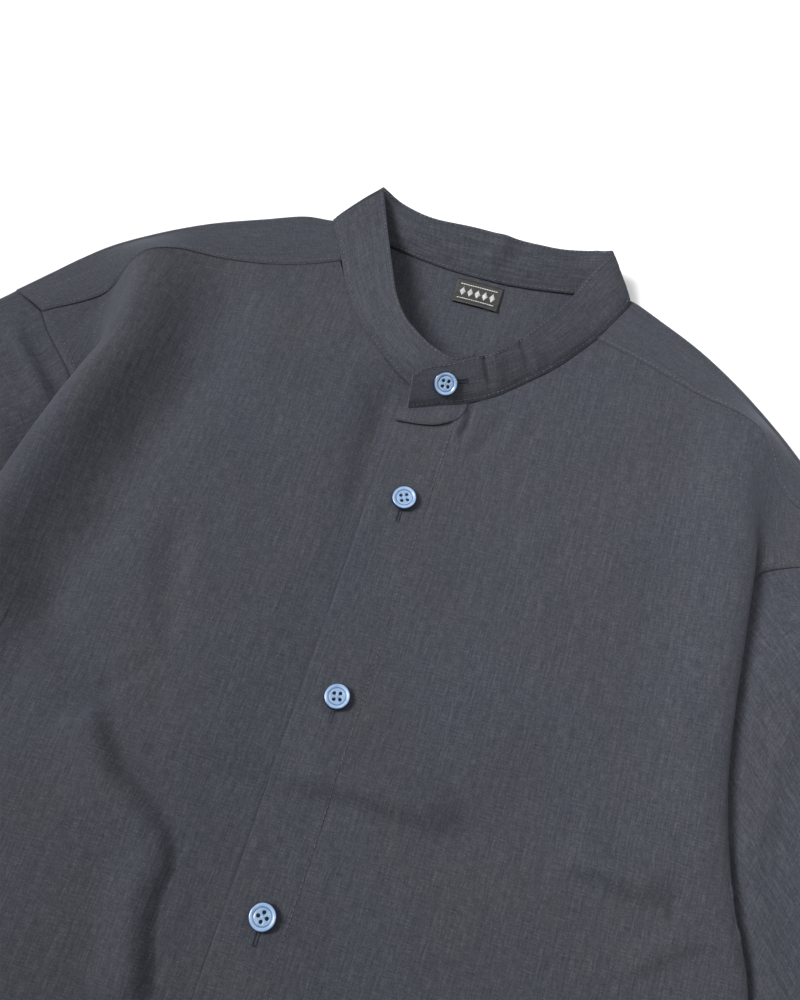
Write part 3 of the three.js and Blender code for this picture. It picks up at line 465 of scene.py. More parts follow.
def shell_parts(grid, thickness, inward, closed=False, places=None):
    """Points, faces and cloth places of a closed wall with the grid as its outer face."""
    rows, columns = grid.shape[:2]
    t = np.broadcast_to(np.asarray(thickness, float), (rows, columns))[..., None]
    inner = grid + normals_of(grid, closed) * t * inward
    if places is None:
        places = cloth_places(grid)
    points = np.concatenate([grid.reshape(-1, 3), inner.reshape(-1, 3)])
    index = np.arange(rows * columns).reshape(rows, columns)
    nxt = np.roll(index, -1, axis=1) if closed else index
    a = (index[:-1] if closed else index[:-1, :-1]).ravel()
    b = (nxt[:-1] if closed else index[:-1, 1:]).ravel()
    c = (nxt[1:] if closed else index[1:, 1:]).ravel()
    d = (index[1:] if closed else index[1:, :-1]).ravel()
    shift = rows * columns
    faces = [np.stack([a, b, c, d], 1), np.stack([b, a, d, c], 1) + shift]
    for edge, other in ((index[0], False), (index[-1], True)):
        p = edge if closed else edge[:-1]
        q = np.roll(edge, -1) if closed else edge[1:]
        rim = np.stack([q, p, p + shift, q + shift], 1)
        faces.append(rim[:, ::-1] if other else rim)
    if not closed:
        for edge, other in ((index[:, 0], False), (index[:, -1], True)):
            rim = np.stack([edge[:-1], edge[1:], edge[1:] + shift, edge[:-1] + shift], 1)
            faces.append(rim[:, ::-1] if other else rim)
    faces = np.concatenate(faces)
    if inward > 0:
        faces = faces[:, ::-1]
    flat = places.reshape(-1, 2)
    return points, faces, np.concatenate([flat, flat])


def linked(name, data):
    obj = bpy.data.objects.new(name, data)
    bpy.context.scene.collection.objects.link(obj)
    return obj


def on_shirt(name, mesh):
    """Object of a mesh that rides on the part's one body."""
    obj = linked(name, mesh)
    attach(obj, "root")
    return obj


def smooth_mesh(name, points, faces, material):
    """Mesh from points in mm of the working frame."""
    mesh = bpy.data.meshes.new(name)
    mesh.from_pydata((points * MM + ZERO).tolist(), [], faces)
    mesh.polygons.foreach_set("use_smooth", [True] * len(mesh.polygons))
    mesh.materials.append(material)
    mesh.update()
    return mesh


def make_mesh(name, parts, material):
    """One object from shells given as (points in mm, faces, cloth places)."""
    faces = []
    count = 0
    for points, block, _ in parts:
        faces += (np.asarray(block) + count).tolist()
        count += len(points)
    mesh = smooth_mesh(name, np.concatenate([part[0] for part in parts]), faces, material)
    places = np.concatenate([part[2] for part in parts]) * MM
    vectors = np.column_stack([places, np.zeros(count)]).astype(np.float32)
    layer = mesh.attributes.new("cloth_place", "FLOAT_VECTOR", "POINT")
    layer.data.foreach_set("vector", vectors.ravel())
    return on_shirt(name, mesh)


# Node materials
def new_material(name):
    material = bpy.data.materials.new(name)
    material.use_nodes = True
    tree = material.node_tree
    tree.nodes.clear()
    output = tree.nodes.new("ShaderNodeOutputMaterial")
    shader = tree.nodes.new("ShaderNodeBsdfPrincipled")
    tree.links.new(shader.outputs[0], output.inputs[0])
    return material, tree, shader


def node(tree, kind, settings=None, **values):
    made = tree.nodes.new(kind)
    for key, value in (settings or {}).items():
        setattr(made, key, value)
    for key, value in values.items():
        made.inputs[key].default_value = value
    return made


def stretched_noise(tree, vector, scale, detail=2.0, roughness=0.5):
    """Noise over the cloth with its own grain size across and along, per metre."""
    mapping = node(tree, "ShaderNodeMapping", Scale=(scale[0], scale[1], 1.0))
    texture = node(tree, "ShaderNodeTexNoise", Scale=1.0, Detail=detail, Roughness=roughness)
    tree.links.new(vector, mapping.inputs["Vector"])
    tree.links.new(mapping.outputs[0], texture.inputs["Vector"])
    return texture.outputs["Fac"]


def weighted_sum(tree, terms):
    """Adds factor outputs, each taken about its middle and times its weight."""
    total = None
    for output, weight in terms:
        part = node(tree, "ShaderNodeMath", {"operation": "MULTIPLY_ADD"})
        tree.links.new(output, part.inputs[0])
        part.inputs[1].default_value = weight
        part.inputs[2].default_value = -0.5 * weight
        if total is not None:
            join = node(tree, "ShaderNodeMath", {"operation": "ADD"})
            tree.links.new(total, join.inputs[0])
            tree.links.new(part.outputs[0], join.inputs[1])
            total = join.outputs[0]
        else:
            total = part.outputs[0]
    return total


def colour_ramp(tree, source, *stops):
    """Colours over a factor, from (position, colour) stops in order."""
    ramp = node(tree, "ShaderNodeValToRGB")
    elements = ramp.color_ramp.elements
    for index, (position, colour) in ((0, stops[0]), (1, stops[-1])):
        elements[index].position = position
        elements[index].color = (*colour, 1)
    for position, colour in stops[1:-1]:
        elements.new(position).color = (*colour, 1)
    tree.links.new(source, ramp.inputs[0])
    return ramp.outputs[0]


def multiplied(tree, first, second):
    mix = node(tree, "ShaderNodeMix", {"data_type": "RGBA", "blend_type": "MULTIPLY"})
    mix.inputs[0].default_value = 1.0
    tree.links.new(first, mix.inputs[6])
    tree.links.new(second, mix.inputs[7])
    return mix.outputs[2]


def object_noise(tree, scale, detail):
    place = node(tree, "ShaderNodeTexCoord")
    texture = node(tree, "ShaderNodeTexNoise", Scale=scale, Detail=detail)
    tree.links.new(place.outputs["Object"], texture.inputs["Vector"])
    return texture.outputs["Fac"]


def cloth_vector(tree):
    return node(tree, "ShaderNodeAttribute", {"attribute_name": "cloth_place"}).outputs["Vector"]


def add_bump(tree, shader, height, strength, distance):
    bump = node(tree, "ShaderNodeBump", Strength=strength, Distance=distance)
    tree.links.new(height, bump.inputs["Height"])
    tree.links.new(bump.outputs[0], shader.inputs["Normal"])


def finish_shader(tree, shader, colour, values):
    tree.links.new(colour, shader.inputs["Base Color"])
    for key, value in values.items():
        shader.inputs[key].default_value = value


CLOTH_DARK = (0.0145, 0.0164, 0.0238)
CLOTH_MID = (0.0346, 0.0372, 0.0466)
CLOTH_LIGHT = (0.0672, 0.0702, 0.0823)


def cloth_material():
    """Plain weave of dark navy yarn with slubs, faded unevenly."""
    material, tree, shader = new_material("slub_cloth")
    vector = cloth_vector(tree)
    warp = stretched_noise(tree, vector, (1200, 190), 2.0)
    warp_long = stretched_noise(tree, vector, (800, 34), 3.0)
    weft = stretched_noise(tree, vector, (170, 1200), 2.0)
    grain = stretched_noise(tree, vector, (1500, 1400), 2.0)
    cloud = stretched_noise(tree, vector, (26, 18), 3.0, 0.55)
    tone = weighted_sum(tree, [(warp, 0.6), (warp_long, 0.5), (weft, 0.55), (grain, 0.85), (cloud, 0.12)])
    shifted = node(tree, "ShaderNodeMath", {"operation": "ADD"})
    shifted.inputs[1].default_value = 0.5
    tree.links.new(tone, shifted.inputs[0])
    yarn = colour_ramp(tree, shifted.outputs[0], (0.12, CLOTH_DARK), (0.5, CLOTH_MID), (0.9, CLOTH_LIGHT))
    warmth = stretched_noise(tree, vector, (14, 11), 2.0, 0.6)
    tint = colour_ramp(tree, warmth, (0.36, (0.985, 0.99, 1.02)), (0.64, (1.02, 1.01, 0.98)))
    relief = weighted_sum(tree, [(warp, 1.0), (weft, 0.8), (grain, 0.7), (warp_long, 0.4)])
    add_bump(tree, shader, relief, 0.4, 0.0002)
    finish_shader(tree, shader, multiplied(tree, yarn, tint), {
        "Roughness": 0.86,
        "Specular IOR Level": 0.28,
        "Sheen Weight": 0.16,
        "Sheen Roughness": 0.5,
        "Sheen Tint": (0.75, 0.8, 1.0, 1),
    })
    return material


def thread_material(name, dark, light):
    """Twisted sewing thread."""
    material, tree, shader = new_material(name)
    colour = colour_ramp(tree, object_noise(tree, 900.0, 1.0), (0.35, dark), (0.7, light))
    finish_shader(tree, shader, colour, {"Roughness": 0.6})
    return material


# Button's colour from its middle (0) to its edge (1): painted shade in the groove at 0.64 and on the outer
# bevel from 0.93
BUTTON_RINGS = [
    (0.0, (0.20, 0.30, 0.46)), (0.57, (0.24, 0.35, 0.52)), (0.64, (0.05, 0.10, 0.22)),
    (0.71, (0.30, 0.42, 0.60)), (0.87, (0.25, 0.36, 0.55)), (0.93, (0.02, 0.04, 0.11)),
    (1.0, (0.006, 0.012, 0.035)),
]


def button_material():
    """Pearly light blue resin, with painted shade on the rim's outer edge, in the groove and in the holes.
    """
    material, tree, shader = new_material("button_pearl")
    shade = node(tree, "ShaderNodeAttribute", {"attribute_name": "button_shade"})
    rings = colour_ramp(tree, shade.outputs["Fac"], *BUTTON_RINGS)
    cloud = object_noise(tree, 240.0, 2.0)
    pearl = colour_ramp(tree, cloud, (0.3, (0.78, 0.84, 0.92)), (0.7, (1.15, 1.12, 1.05)))
    finish_shader(tree, shader, multiplied(tree, rings, pearl), {
        "Roughness": 0.22,
        "Coat Weight": 0.6,
        "Coat Roughness": 0.08,
    })
    return material


def label_material():
    """Close black woven ribbon."""
    material, tree, shader = new_material("label_ribbon")
    rib = stretched_noise(tree, cloth_vector(tree), (300, 2600), 1.0)
    colour = colour_ramp(tree, rib, (0.3, (0.012, 0.012, 0.012)), (0.75, (0.045, 0.046, 0.044)))
    add_bump(tree, shader, rib, 0.5, 0.0001)
    finish_shader(tree, shader, colour, {"Roughness": 0.55})
    return material


def floor_material():
    material, tree, shader = new_material("pale_floor")
    cloud = object_noise(tree, 4.0, 2.0)
    colour = colour_ramp(tree, cloud, (0.0, (0.93, 0.93, 0.93)), (1.0, (0.95, 0.95, 0.95)))
    finish_shader(tree, shader, colour, {"Roughness": 0.9})
    return material


CLOTH_MATERIAL = cloth_material()
SEAM_THREAD = thread_material("seam_thread", (0.045, 0.048, 0.06), (0.10, 0.105, 0.12))
DARK_THREAD = thread_material("dark_thread", (0.008, 0.011, 0.022), (0.03, 0.036, 0.055))
WHITE_THREAD = thread_material("white_thread", (0.55, 0.55, 0.53), (0.8, 0.8, 0.78))

# Front panels
FRONT_ROWS = 230
CHEST_COLUMNS = 118
FACING_COLUMNS = 18
ROLL_COLUMNS = 40
HEEL_OUT, HEEL_DROP = 2.2, 0.2
RIDGE_BACK = 13.0


def top_edge(side):
    neck = curve_through(*zip(*TOP_EDGE[side]["neck"]))
    seam = curve_through(*zip(*TOP_EDGE[side]["seam"]))
    corner = TOP_EDGE[side]["seam"][0][0]
    return corner, lambda out: np.where(out < corner, neck(out), seam(out))


# Lower edge of the placket's end, which is folded down on itself under the band: x, y
FLAP_LINE = [(-18.2, -27.2), (-13, -27), (-2, -25.4), (5, -23), (11.6, -18), (14.5, -13.5), (16, -9)]
FLAP_LIFT = 1.9
# Hollow of the under front beside the placket: path, height, width and fade
LAP_HOLLOW = [([(-21, 0), (-25, -26), (-24, -60), (-21, -90)], -2.6, 8, 0.25)]


def flap_grid():
    line = curve_through(*zip(*FLAP_LINE))
    neck = curve_through(*zip(*TOP_EDGE[LEFT]["neck"]))
    x = np.linspace(-LAP_HALF - 0.5, 15.5, 60)
    v = np.concatenate([np.linspace(0, 0.9, 14), [0.94, 0.97, 0.99, 1.0]])
    y = lerp(neck(x)[None], line(x)[None], v[:, None])
    x = np.broadcast_to(x, y.shape)
    right_end = 1 - smoothstep(x, 6, 15)
    rise = FLAP_LIFT * smoothstep(v, 0.0, 0.8) - 0.5 * smoothstep(v, 0.93, 1)
    lift = 0.25 + rise[:, None] * right_end
    return np.stack([x, y, front_height(LEFT, x, y) + lift], axis=2)


def front_grid(side):
    """Outer face of a front: facing, chest, then the roll over the ridge and under to the side seam."""
    sign = SIGN[side]
    fold = fold_at[side]
    corner, top = top_edge(side)
    stitch = FACING_WIDTH - LAP_HALF
    ridge_top_x, ridge_top_y = FOLD[side][0][:2]
    ridge_end_y = FOLD[side][-1][1]
    w = np.linspace(0, 1, FRONT_ROWS + 1) ** 1.25
    ridge_y = lerp(ridge_top_y, ridge_end_y, w)
    ridge_x = fold["ridge_x"](ridge_y)
    corner_share = (corner - stitch) / (ridge_top_x - stitch)
    corner_column = round(corner_share * CHEST_COLUMNS)
    shares = np.concatenate([np.linspace(0, corner_share, corner_column + 1),
                             np.linspace(corner_share, 1, CHEST_COLUMNS - corner_column + 1)[1:]])
    facing = np.linspace(-LAP_HALF, stitch, FACING_COLUMNS + 1)[:-1]
    out = np.concatenate([np.broadcast_to(facing, (len(w), FACING_COLUMNS)),
                          lerp(stitch, ridge_x[:, None], shares[None])], axis=1)
    y = lerp(top(out[0])[None], hem_at(out[-1])[None], w[:, None])
    x = out * sign
    z = front_height(side, x, y)
    if side == RIGHT:
        z = z - LAP_DROP * (1 - smoothstep(out, LAP_HALF + 1, LAP_HALF + 30))
        z = z + fold_height(LAP_HOLLOW, x, y)
    else:
        z = z - 0.2 * bell((out + LAP_HALF) / 0.8)
    z = z - 0.16 * bell((out - stitch) / 1.1) * (1 + 0.6 * noise(y / 5.0, out * 0, 3))
    chest = np.stack([x, y, z], axis=2)
    ridge = chest[:, -1]
    seam_y = fold["seam_y"](ridge_y)

    def fold_line(name, y):
        return np.stack([fold[name + "_x"](ridge_y) * sign, y, fold[name + "_z"](ridge_y)], 1)
    seam = fold_line("seam", seam_y)
    rim = fold_line("rim", lerp(ridge[:, 1], seam_y, 0.2))
    under = fold_line("under", lerp(ridge[:, 1], seam_y, 0.6))
    share = np.minimum(0.6, HEEL_OUT / np.abs(under[:, 0] - seam[:, 0]))[:, None]
    heel = seam + (under - seam) * share
    heel[:, 2] = np.maximum(seam[:, 2], under[:, 2] - HEEL_DROP)
    back_x = ridge[:, 0] - RIDGE_BACK * sign
    before = np.stack([back_x, ridge[:, 1], front_height(side, back_x, ridge[:, 1])], 1)
    path = np.stack([before, ridge, rim, under, heel, seam], axis=1)
    roll = spline(path, np.linspace(0.2, 1, ROLL_COLUMNS + 1)[1:])
    grid = np.concatenate([chest, roll], axis=1)
    return smooth_columns(grid, chest.shape[1], 9, 16)


def roll_rumple(grid, side):
    """Unevenness of the rolled and tucked cloth, growing away from the chest."""
    first = FACING_COLUMNS + CHEST_COLUMNS
    places = cloth_places(grid)
    amount = np.zeros(grid.shape[:2])
    amount[:, first:] = smoothstep(np.arange(grid.shape[1] - first), 0, 8)[None]
    amount[:, -6:] *= np.linspace(1, 0, 6)[None]
    field = rumple(places[..., 0] * 1.3, places[..., 1], 5) * 0.9 * amount
    return grid + normals_of(grid) * field[..., None] * -SIGN[side]


def front_places(grid, side):
    """Grain of a front: straight up and across on the chest, and along the cloth round the fold."""
    first = FACING_COLUMNS + CHEST_COLUMNS
    u = grid[..., 0].copy()
    steps = np.linalg.norm(np.diff(grid[:, first:], axis=1), axis=2)
    u[:, first + 1:] = u[:, first:first + 1] + SIGN[side] * np.cumsum(steps, axis=1)
    return np.stack([u, grid[..., 1]], axis=2)


front_grids = {}
for side in (RIGHT, LEFT):
    grid = roll_rumple(front_grid(side), side)
    front_grids[side] = grid
    thickness = np.full(grid.shape[:2], CLOTH)
    thickness[:, :FACING_COLUMNS + 1] = FACING
    inward = 1.0 if side == LEFT else -1.0
    name = f"cloth_front_{side}"
    parts = [shell_parts(grid, thickness, inward, places=front_places(grid, side))]
    if side == LEFT:
        flap = flap_grid()
        parts.append(shell_parts(flap, CLOTH, 1.0, places=flap[..., :2]))
    front = make_mesh(name, parts, CLOTH_MATERIAL)
    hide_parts(f"front_{side}")


# Back panel
BACK_COLUMNS = 150
BACK_ROWS = 60


def half_width(side, y):
    """Distance of the side seam from the centre line at each y."""
    edge = front_grids[side][:, -1]
    edge = edge[np.argsort(edge[:, 1])]
    return np.interp(y, edge[:, 1], np.abs(edge[:, 0]))


def back_grid():
    rows = []
    shares = np.linspace(-1, 1, BACK_COLUMNS + 1)
    hem_y = hem_at(shares * FOLD[RIGHT][-1][7]) - BACK_HEM_DROP
    for down in np.linspace(0, 1, BACK_ROWS + 1):
        y = lerp(YOKE_DEPTH_Y - 0.3, hem_y, down)
        x = shares * np.where(shares < 0, half_width(RIGHT, y), half_width(LEFT, y))
        rows.append(np.stack([x, y, np.full(len(x), BACK_CLOTH)], 1))
    return np.array(rows)


back_face = back_grid()
back_parts = shell_parts(back_face, BACK_CLOTH, 1.0, places=back_face[..., :2])
back = make_mesh("cloth_back", [back_parts], CLOTH_MATERIAL)
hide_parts("back")

# Yoke
WING_SAMPLES = 44
WING_STATIONS = 110
WING_GRAIN = (155.0, 75.0)
YOKE_LIFT = 0.75
YOKE_OVER = 1.2
NECK_TUCK = 3.5
NECK_RISE = 1.1


def wing_stations(side):
    corner = TOP_EDGE[side]["seam"][0][0]
    top = front_grids[side][0]
    seam = top[top[:, 0] * SIGN[side] > corner - 0.3]
    seam = np.vstack([seam[:1] + np.array([-NECK_TUCK * SIGN[side], NECK_TUCK * 0.7, -0.7]), seam])
    seam = resample(seam, np.linspace(0, 1, WING_STATIONS))
    (first_x, first_y), rest = SHOULDER[side][0], SHOULDER[side]
    outline = np.array([((first_x - NECK_TUCK) * SIGN[side], first_y + 0.5, 0.0)]
                       + [(x * SIGN[side], y, 0.0) for x, y in rest])
    edge = resample(spline(outline, np.linspace(0, 1, 200)), np.linspace(0, 1, WING_STATIONS))
    return edge, seam


def wing_grid(side):
    """Wing of the yoke, from its strip on the floor over the shoulder's roll to the forward seam."""
    edge, seam = wing_stations(side)
    towards = seam - edge
    towards[:, 2] = 0
    reach = np.linalg.norm(towards, axis=1, keepdims=True)
    towards /= reach
    reach = reach + YOKE_OVER
    roll = SHOULDER_ROLL
    columns = []

    def place(s, z):
        p = edge + towards * s
        p[:, 2] = np.ravel(z)
        columns.append(p)
    for s in np.linspace(SHOULDER_STRIP, roll, 4):
        place(s, 0.0)
    for angle in np.linspace(0, math.pi, 14)[1:]:
        place(roll - roll * math.sin(angle), roll - roll * math.cos(angle))
    for t in np.linspace(0, 1, WING_SAMPLES)[1:]:
        crown = math.sin(math.pi * t) * 0.8
        z = lerp(2 * roll, seam[:, 2] + YOKE_LIFT, t) + crown - 0.25 * bell((1 - t) * 40)
        place(lerp(roll, reach, t), z)
    grid = np.stack(columns, axis=1)
    places = cloth_places(grid)
    amount = smoothstep(np.arange(grid.shape[1]), 8, 26)[None] * np.ones((grid.shape[0], 1))
    field = rumple(places[..., 1] * 1.2, places[..., 0] * 1.2, 11) * 0.9 * amount
    field *= 1 - 0.75 * smoothstep(np.arange(grid.shape[1]), grid.shape[1] - 8, grid.shape[1])[None]
    grid[..., 2] += field
    return grid


def yoke_plate():
    """Upper face of the yoke's back, which lies on the floor."""
    xs = np.linspace(-233, 233, 240)
    neck = curve_through(*zip(*BACK_NECK))(xs) + NECK_TUCK
    shoulder_y = np.empty_like(xs)
    bottom_y = np.full_like(xs, YOKE_DEPTH_Y)
    for side in (RIGHT, LEFT):
        mask = xs * SIGN[side] > 0
        outline = np.array(SHOULDER[side])
        shoulder_y[mask] = np.interp(xs[mask] * SIGN[side], outline[:, 0], outline[:, 1]) - 6
        plan = front_grids[side][:, -1]
        top = plan[plan[:, 1] > YOKE_DEPTH_Y]
        arm_x = np.append(240.0, np.abs(top[:, 0]))
        arm_y = np.append(-12.0, top[:, 1])
        order = np.argsort(arm_x)
        arm = np.interp(xs[mask] * SIGN[side], arm_x[order], arm_y[order])
        bottom_y[mask] = np.where(xs[mask] * SIGN[side] > arm_x.min(), arm, YOKE_DEPTH_Y)
    top_y = np.where((xs > -88) & (xs < 80), neck, shoulder_y)
    t = np.linspace(0, 1, 60)[:, None]
    y = lerp(top_y[None], bottom_y[None] + 0.4, t)
    x = np.broadcast_to(xs, y.shape)
    lift = CLOTH + 0.3 + 0.5 * np.maximum(0, rumple(x, y, 4)) * smoothstep(y, -20, 30)
    inside_neck = smoothstep(x, -84, -70) * (1 - smoothstep(x, 62, 76))
    lift = lift + NECK_RISE * smoothstep(y - neck[None] + NECK_TUCK, -13, -1) * inside_neck
    return np.stack([x, y, lift], axis=2)


def even_places(rows, columns, length, width):
    """Grain of a piece laid out as a plain rectangle."""
    u, v = np.meshgrid(np.linspace(0, width, columns), np.linspace(0, length, rows))
    return np.stack([u, v], axis=2)


def plate_parts(grid, top_thickness):
    """Wall whose under face is flat on the floor."""
    flat = grid.copy()
    flat[..., 2] = 0
    points, faces, places = shell_parts(grid, top_thickness, 1.0, places=grid[..., :2])
    points[len(points) // 2:] = flat.reshape(-1, 3)
    return points, faces, places


yoke_parts = [plate_parts(yoke_plate(), CLOTH)]
for side in (RIGHT, LEFT):
    wing = wing_grid(side)
    wing_places = even_places(*wing.shape[:2], *WING_GRAIN)
    yoke_parts.append(shell_parts(wing, CLOTH, -1.0 if side == LEFT else 1.0, places=wing_places))
yoke = make_mesh("cloth_yoke", yoke_parts, CLOTH_MATERIAL)
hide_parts("yoke")

# Collar band
BAND_STATIONS = 420
BAND_LEVELS = np.concatenate([[0, 0.012, 0.03, 0.06], np.linspace(0.1, 0.9, 17), [0.94, 0.97, 0.988, 1]])
BAND_LENGTH, BAND_DEPTH = 400.0, 28.0
BAND_ROUNDING = 0.8
BAND_BULGE = 0.8
# Creases of the band: station, level from which it grows, height, width in stations, slant
BAND_CREASES = [
    (17.4, 0.8, -0.9, 0.22, 0.0), (26.35, 0.45, -1.7, 0.13, 0.35), (26.0, 0.5, 1.0, 0.2, 0.3),
    (25.5, 0.6, -0.8, 0.18, 0.2), (24.85, 0.5, -1.3, 0.14, -0.1), (24.55, 0.6, 0.7, 0.2, 0.0),
    (15.0, 0.6, 0.9, 0.28, 0.2), (14.5, 0.5, -1.5, 0.2, 0.3), (6.4, 0.5, -0.4, 0.3, 0.0),
]


def cloth_under(places):
    """Height of the fronts and the yoke under plan places near the neck."""
    chest_columns = FACING_COLUMNS + CHEST_COLUMNS
    grids = [front_grids[side][:60, :chest_columns] for side in (RIGHT, LEFT)]
    grids += [wing_grid(side)[:30, 20:] for side in (RIGHT, LEFT)]
    grids.append(yoke_plate())
    cloth = np.concatenate([grid.reshape(-1, 3) for grid in grids])
    cloth = cloth[(np.abs(cloth[:, 0]) < 105) & (cloth[:, 1] > -40)]
    heights = []
    for place in places:
        near = np.hypot(cloth[:, 0] - place[0], cloth[:, 1] - place[1]) < 2.2
        heights.append(cloth[near, 2].max() if near.any() else place[2])
    return np.array(heights)


def band_grid():
    """Outer face of the band, station by station from its under end to its upper end."""
    foot = np.array([row[0] for row in BAND], float)
    top = np.array([row[1] for row in BAND], float)
    stations = np.linspace(0, 1, BAND_STATIONS)
    foot = spline(foot, stations)
    top = spline(top, stations)
    t = BAND_LEVELS[None, :, None]
    grid = lerp(foot[:, None], top[:, None], t)
    grid[..., 2] += BAND_BULGE * np.sin(math.pi * BAND_LEVELS)[None]
    row = stations * (len(BAND) - 1)
    places = cloth_places(grid)
    along, across = places[..., 1], places[..., 0]
    field = 0.22 * noise(along / 16, across / 22, 8) + 0.12 * noise(along / 6, across / 14, 9)
    for at, level, height, width, slant in BAND_CREASES:
        middle_row = at + slant * (BAND_LEVELS[None] - 0.5)
        grow = smoothstep(BAND_LEVELS, level - 0.5, level)
        field += height * bell((row[:, None] - middle_row) / width) * grow[None]
    edge = smoothstep(BAND_LEVELS, 0, 0.12) * smoothstep(1 - BAND_LEVELS, -0.1, 0.1)
    grid = grid + normals_of(grid) * (field * edge[None])[..., None]
    gap = np.clip(foot[:, 2] - cloth_under(foot) - 0.45, 0, 2.6)
    gap = np.convolve(np.pad(gap, 8, mode="edge"), np.ones(17) / 17, mode="valid")
    grid[..., 2] -= gap[:, None] * (1 - smoothstep(BAND_LEVELS, 0, 0.16))[None]
    return grid


band = band_grid()
level_edge = np.clip(np.minimum(BAND_LEVELS, 1 - BAND_LEVELS) * BAND_DEPTH / BAND_ROUNDING, 0, 1)
band_thickness = BAND_CLOTH * (0.35 + 0.65 * np.sqrt(np.clip(1 - (1 - level_edge) ** 2, 0, 1)))
band_places = even_places(*band.shape[:2], BAND_LENGTH, BAND_DEPTH)
collar_parts = shell_parts(band, band_thickness[None], -1.0, places=band_places)
collar = make_mesh("cloth_collar", [collar_parts], CLOTH_MATERIAL)
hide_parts("collar")

# Sleeves
SLEEVE_RINGS = 150
SLEEVE_LENGTH, SLEEVE_AROUND = 520.0, 340.0
SLEEVE_SEED = {RIGHT: 25, LEFT: 21}
RING_END = 10
RING_FLAT = 90


def armhole_line(side):
    limit = FOLD[side][UNDERARM_ROW][8] - 12
    edge = front_grids[side][:, -1]
    edge = edge[edge[:, 1] > limit]
    x, y = SHOULDER[side][-1]
    points = np.vstack([[x * SIGN[side], y, 2 * SHOULDER_ROLL], edge])
    return resample(points, np.linspace(0, 1, 300))


def plan_line(points, sign, count=400):
    p = np.array([(x * sign, y, 0.0) for x, y in points])
    return resample(spline(p, np.linspace(0, 1, count)), np.linspace(0, 1, count))


sleeve_loft_at = curve_through(*zip(*SLEEVE_LOFT))


def sleeve_height(side, u, v, arm_z, x, y):
    z = sleeve_loft_at(v) * lerp(1, 0.72, smoothstep(u, 0.55, 1) * (1 - smoothstep(v, 0.3, 0.6)))
    for along, across, height, length, width in PUCKERS:
        z = z + height * bell((v - along) / length) * bell((u - across) / width)
    folds = fold_height(SLEEVE_FOLDS[side], x, y)
    z = lerp(arm_z, z, smoothstep(v, 0, 0.1)) + folds * smoothstep(v, 0, 0.03)
    fold = fold_at[side]
    rim = fold["rim_x"](y)
    beside = 1 - smoothstep(x * SIGN[side], rim, rim + 12)
    below = smoothstep(-y, -FOLD[side][2][1], -FOLD[side][4][1])
    cap = fold["under_z"](y) - ROLL_CLEARANCE
    return lerp(z, np.minimum(z, cap), beside * below)


def sleeve_grid(side):
    """Closed rings of a flattened sleeve from the armhole to the cuff."""
    sign = SIGN[side]
    arm = armhole_line(side)
    start, end = arm[0], arm[-1]
    outer = plan_line([(start[0] * sign, start[1])] + SLEEVE_OUTER, sign)
    inner = plan_line([(end[0] * sign, end[1])] + SLEEVE_INNER, sign)
    grid = []
    for j in range(SLEEVE_RINGS + 1):
        v = (j / SLEEVE_RINGS) ** 1.15
        at = v * (len(outer) - 1)
        a = np.array([np.interp(at, np.arange(len(outer)), outer[:, c]) for c in range(3)])
        b = np.array([np.interp(at, np.arange(len(inner)), inner[:, c]) for c in range(3)])
        width = np.linalg.norm(b - a)
        flat = np.linspace(SLEEVE_ROLL, width - SLEEVE_ROLL, RING_FLAT)
        turn = np.linspace(0, math.pi, RING_END + 1)[1:-1]
        s = np.concatenate([flat, width - SLEEVE_ROLL + SLEEVE_ROLL * np.sin(turn),
                            flat[::-1], SLEEVE_ROLL - SLEEVE_ROLL * np.sin(turn)])
        level = np.concatenate([np.ones(RING_FLAT), np.cos(turn), -np.ones(RING_FLAT), -np.cos(turn)])
        u = s / width
        arm_at = np.stack([np.interp(u, np.linspace(0, 1, len(arm)), arm[:, c]) for c in range(3)], 1)
        straight = start + (end - start) * u[:, None]
        keep = 1 - smoothstep(v, 0, 0.4)
        p = a + (b - a) * u[:, None] + keep * (arm_at - straight)
        height = sleeve_height(side, u, v, arm_at[:, 2] - 0.5, p[:, 0], p[:, 1])
        top_only = smoothstep(level, 0.2, 1) * smoothstep(v, 0, 0.02)
        amount = 1.5 * top_only * (0.35 + 0.65 * smoothstep(v, 0.02, 0.2))
        wave = rumple(s * 1.1, v * SLEEVE_LENGTH, SLEEVE_SEED[side]) * amount
        grid.append(np.stack([p[:, 0], p[:, 1], height * (level + 1) / 2 + wave], 1))
    return np.array(grid)


sleeve_grids = {side: sleeve_grid(side) for side in (RIGHT, LEFT)}
for side, grid in sleeve_grids.items():
    inward = -1.0 if side == LEFT else 1.0
    name = f"cloth_sleeve_{side}"
    places = even_places(*grid.shape[:2], SLEEVE_LENGTH, SLEEVE_AROUND)
    parts = shell_parts(grid, CLOTH, inward, closed=True, places=places)
    sleeve = make_mesh(name, [parts], CLOTH_MATERIAL)
    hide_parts(f"sleeve_{side}")

# Cuffs
CUFF_LAP = (58.0, 76.0)
CUFF_ROWS = 40


def cuff_frame(side):
    sign = SIGN[side]
    a = np.array([SLEEVE_OUTER[-1][0] * sign, SLEEVE_OUTER[-1][1], 0.0])
    b = np.array([SLEEVE_INNER[-1][0] * sign, SLEEVE_INNER[-1][1], 0.0])
    width = np.linalg.norm(b - a)
    across = (b - a) / width
    down = np.array([-across[1], across[0], 0.0])
    return a, across, down if down[1] < 0 else -down, width


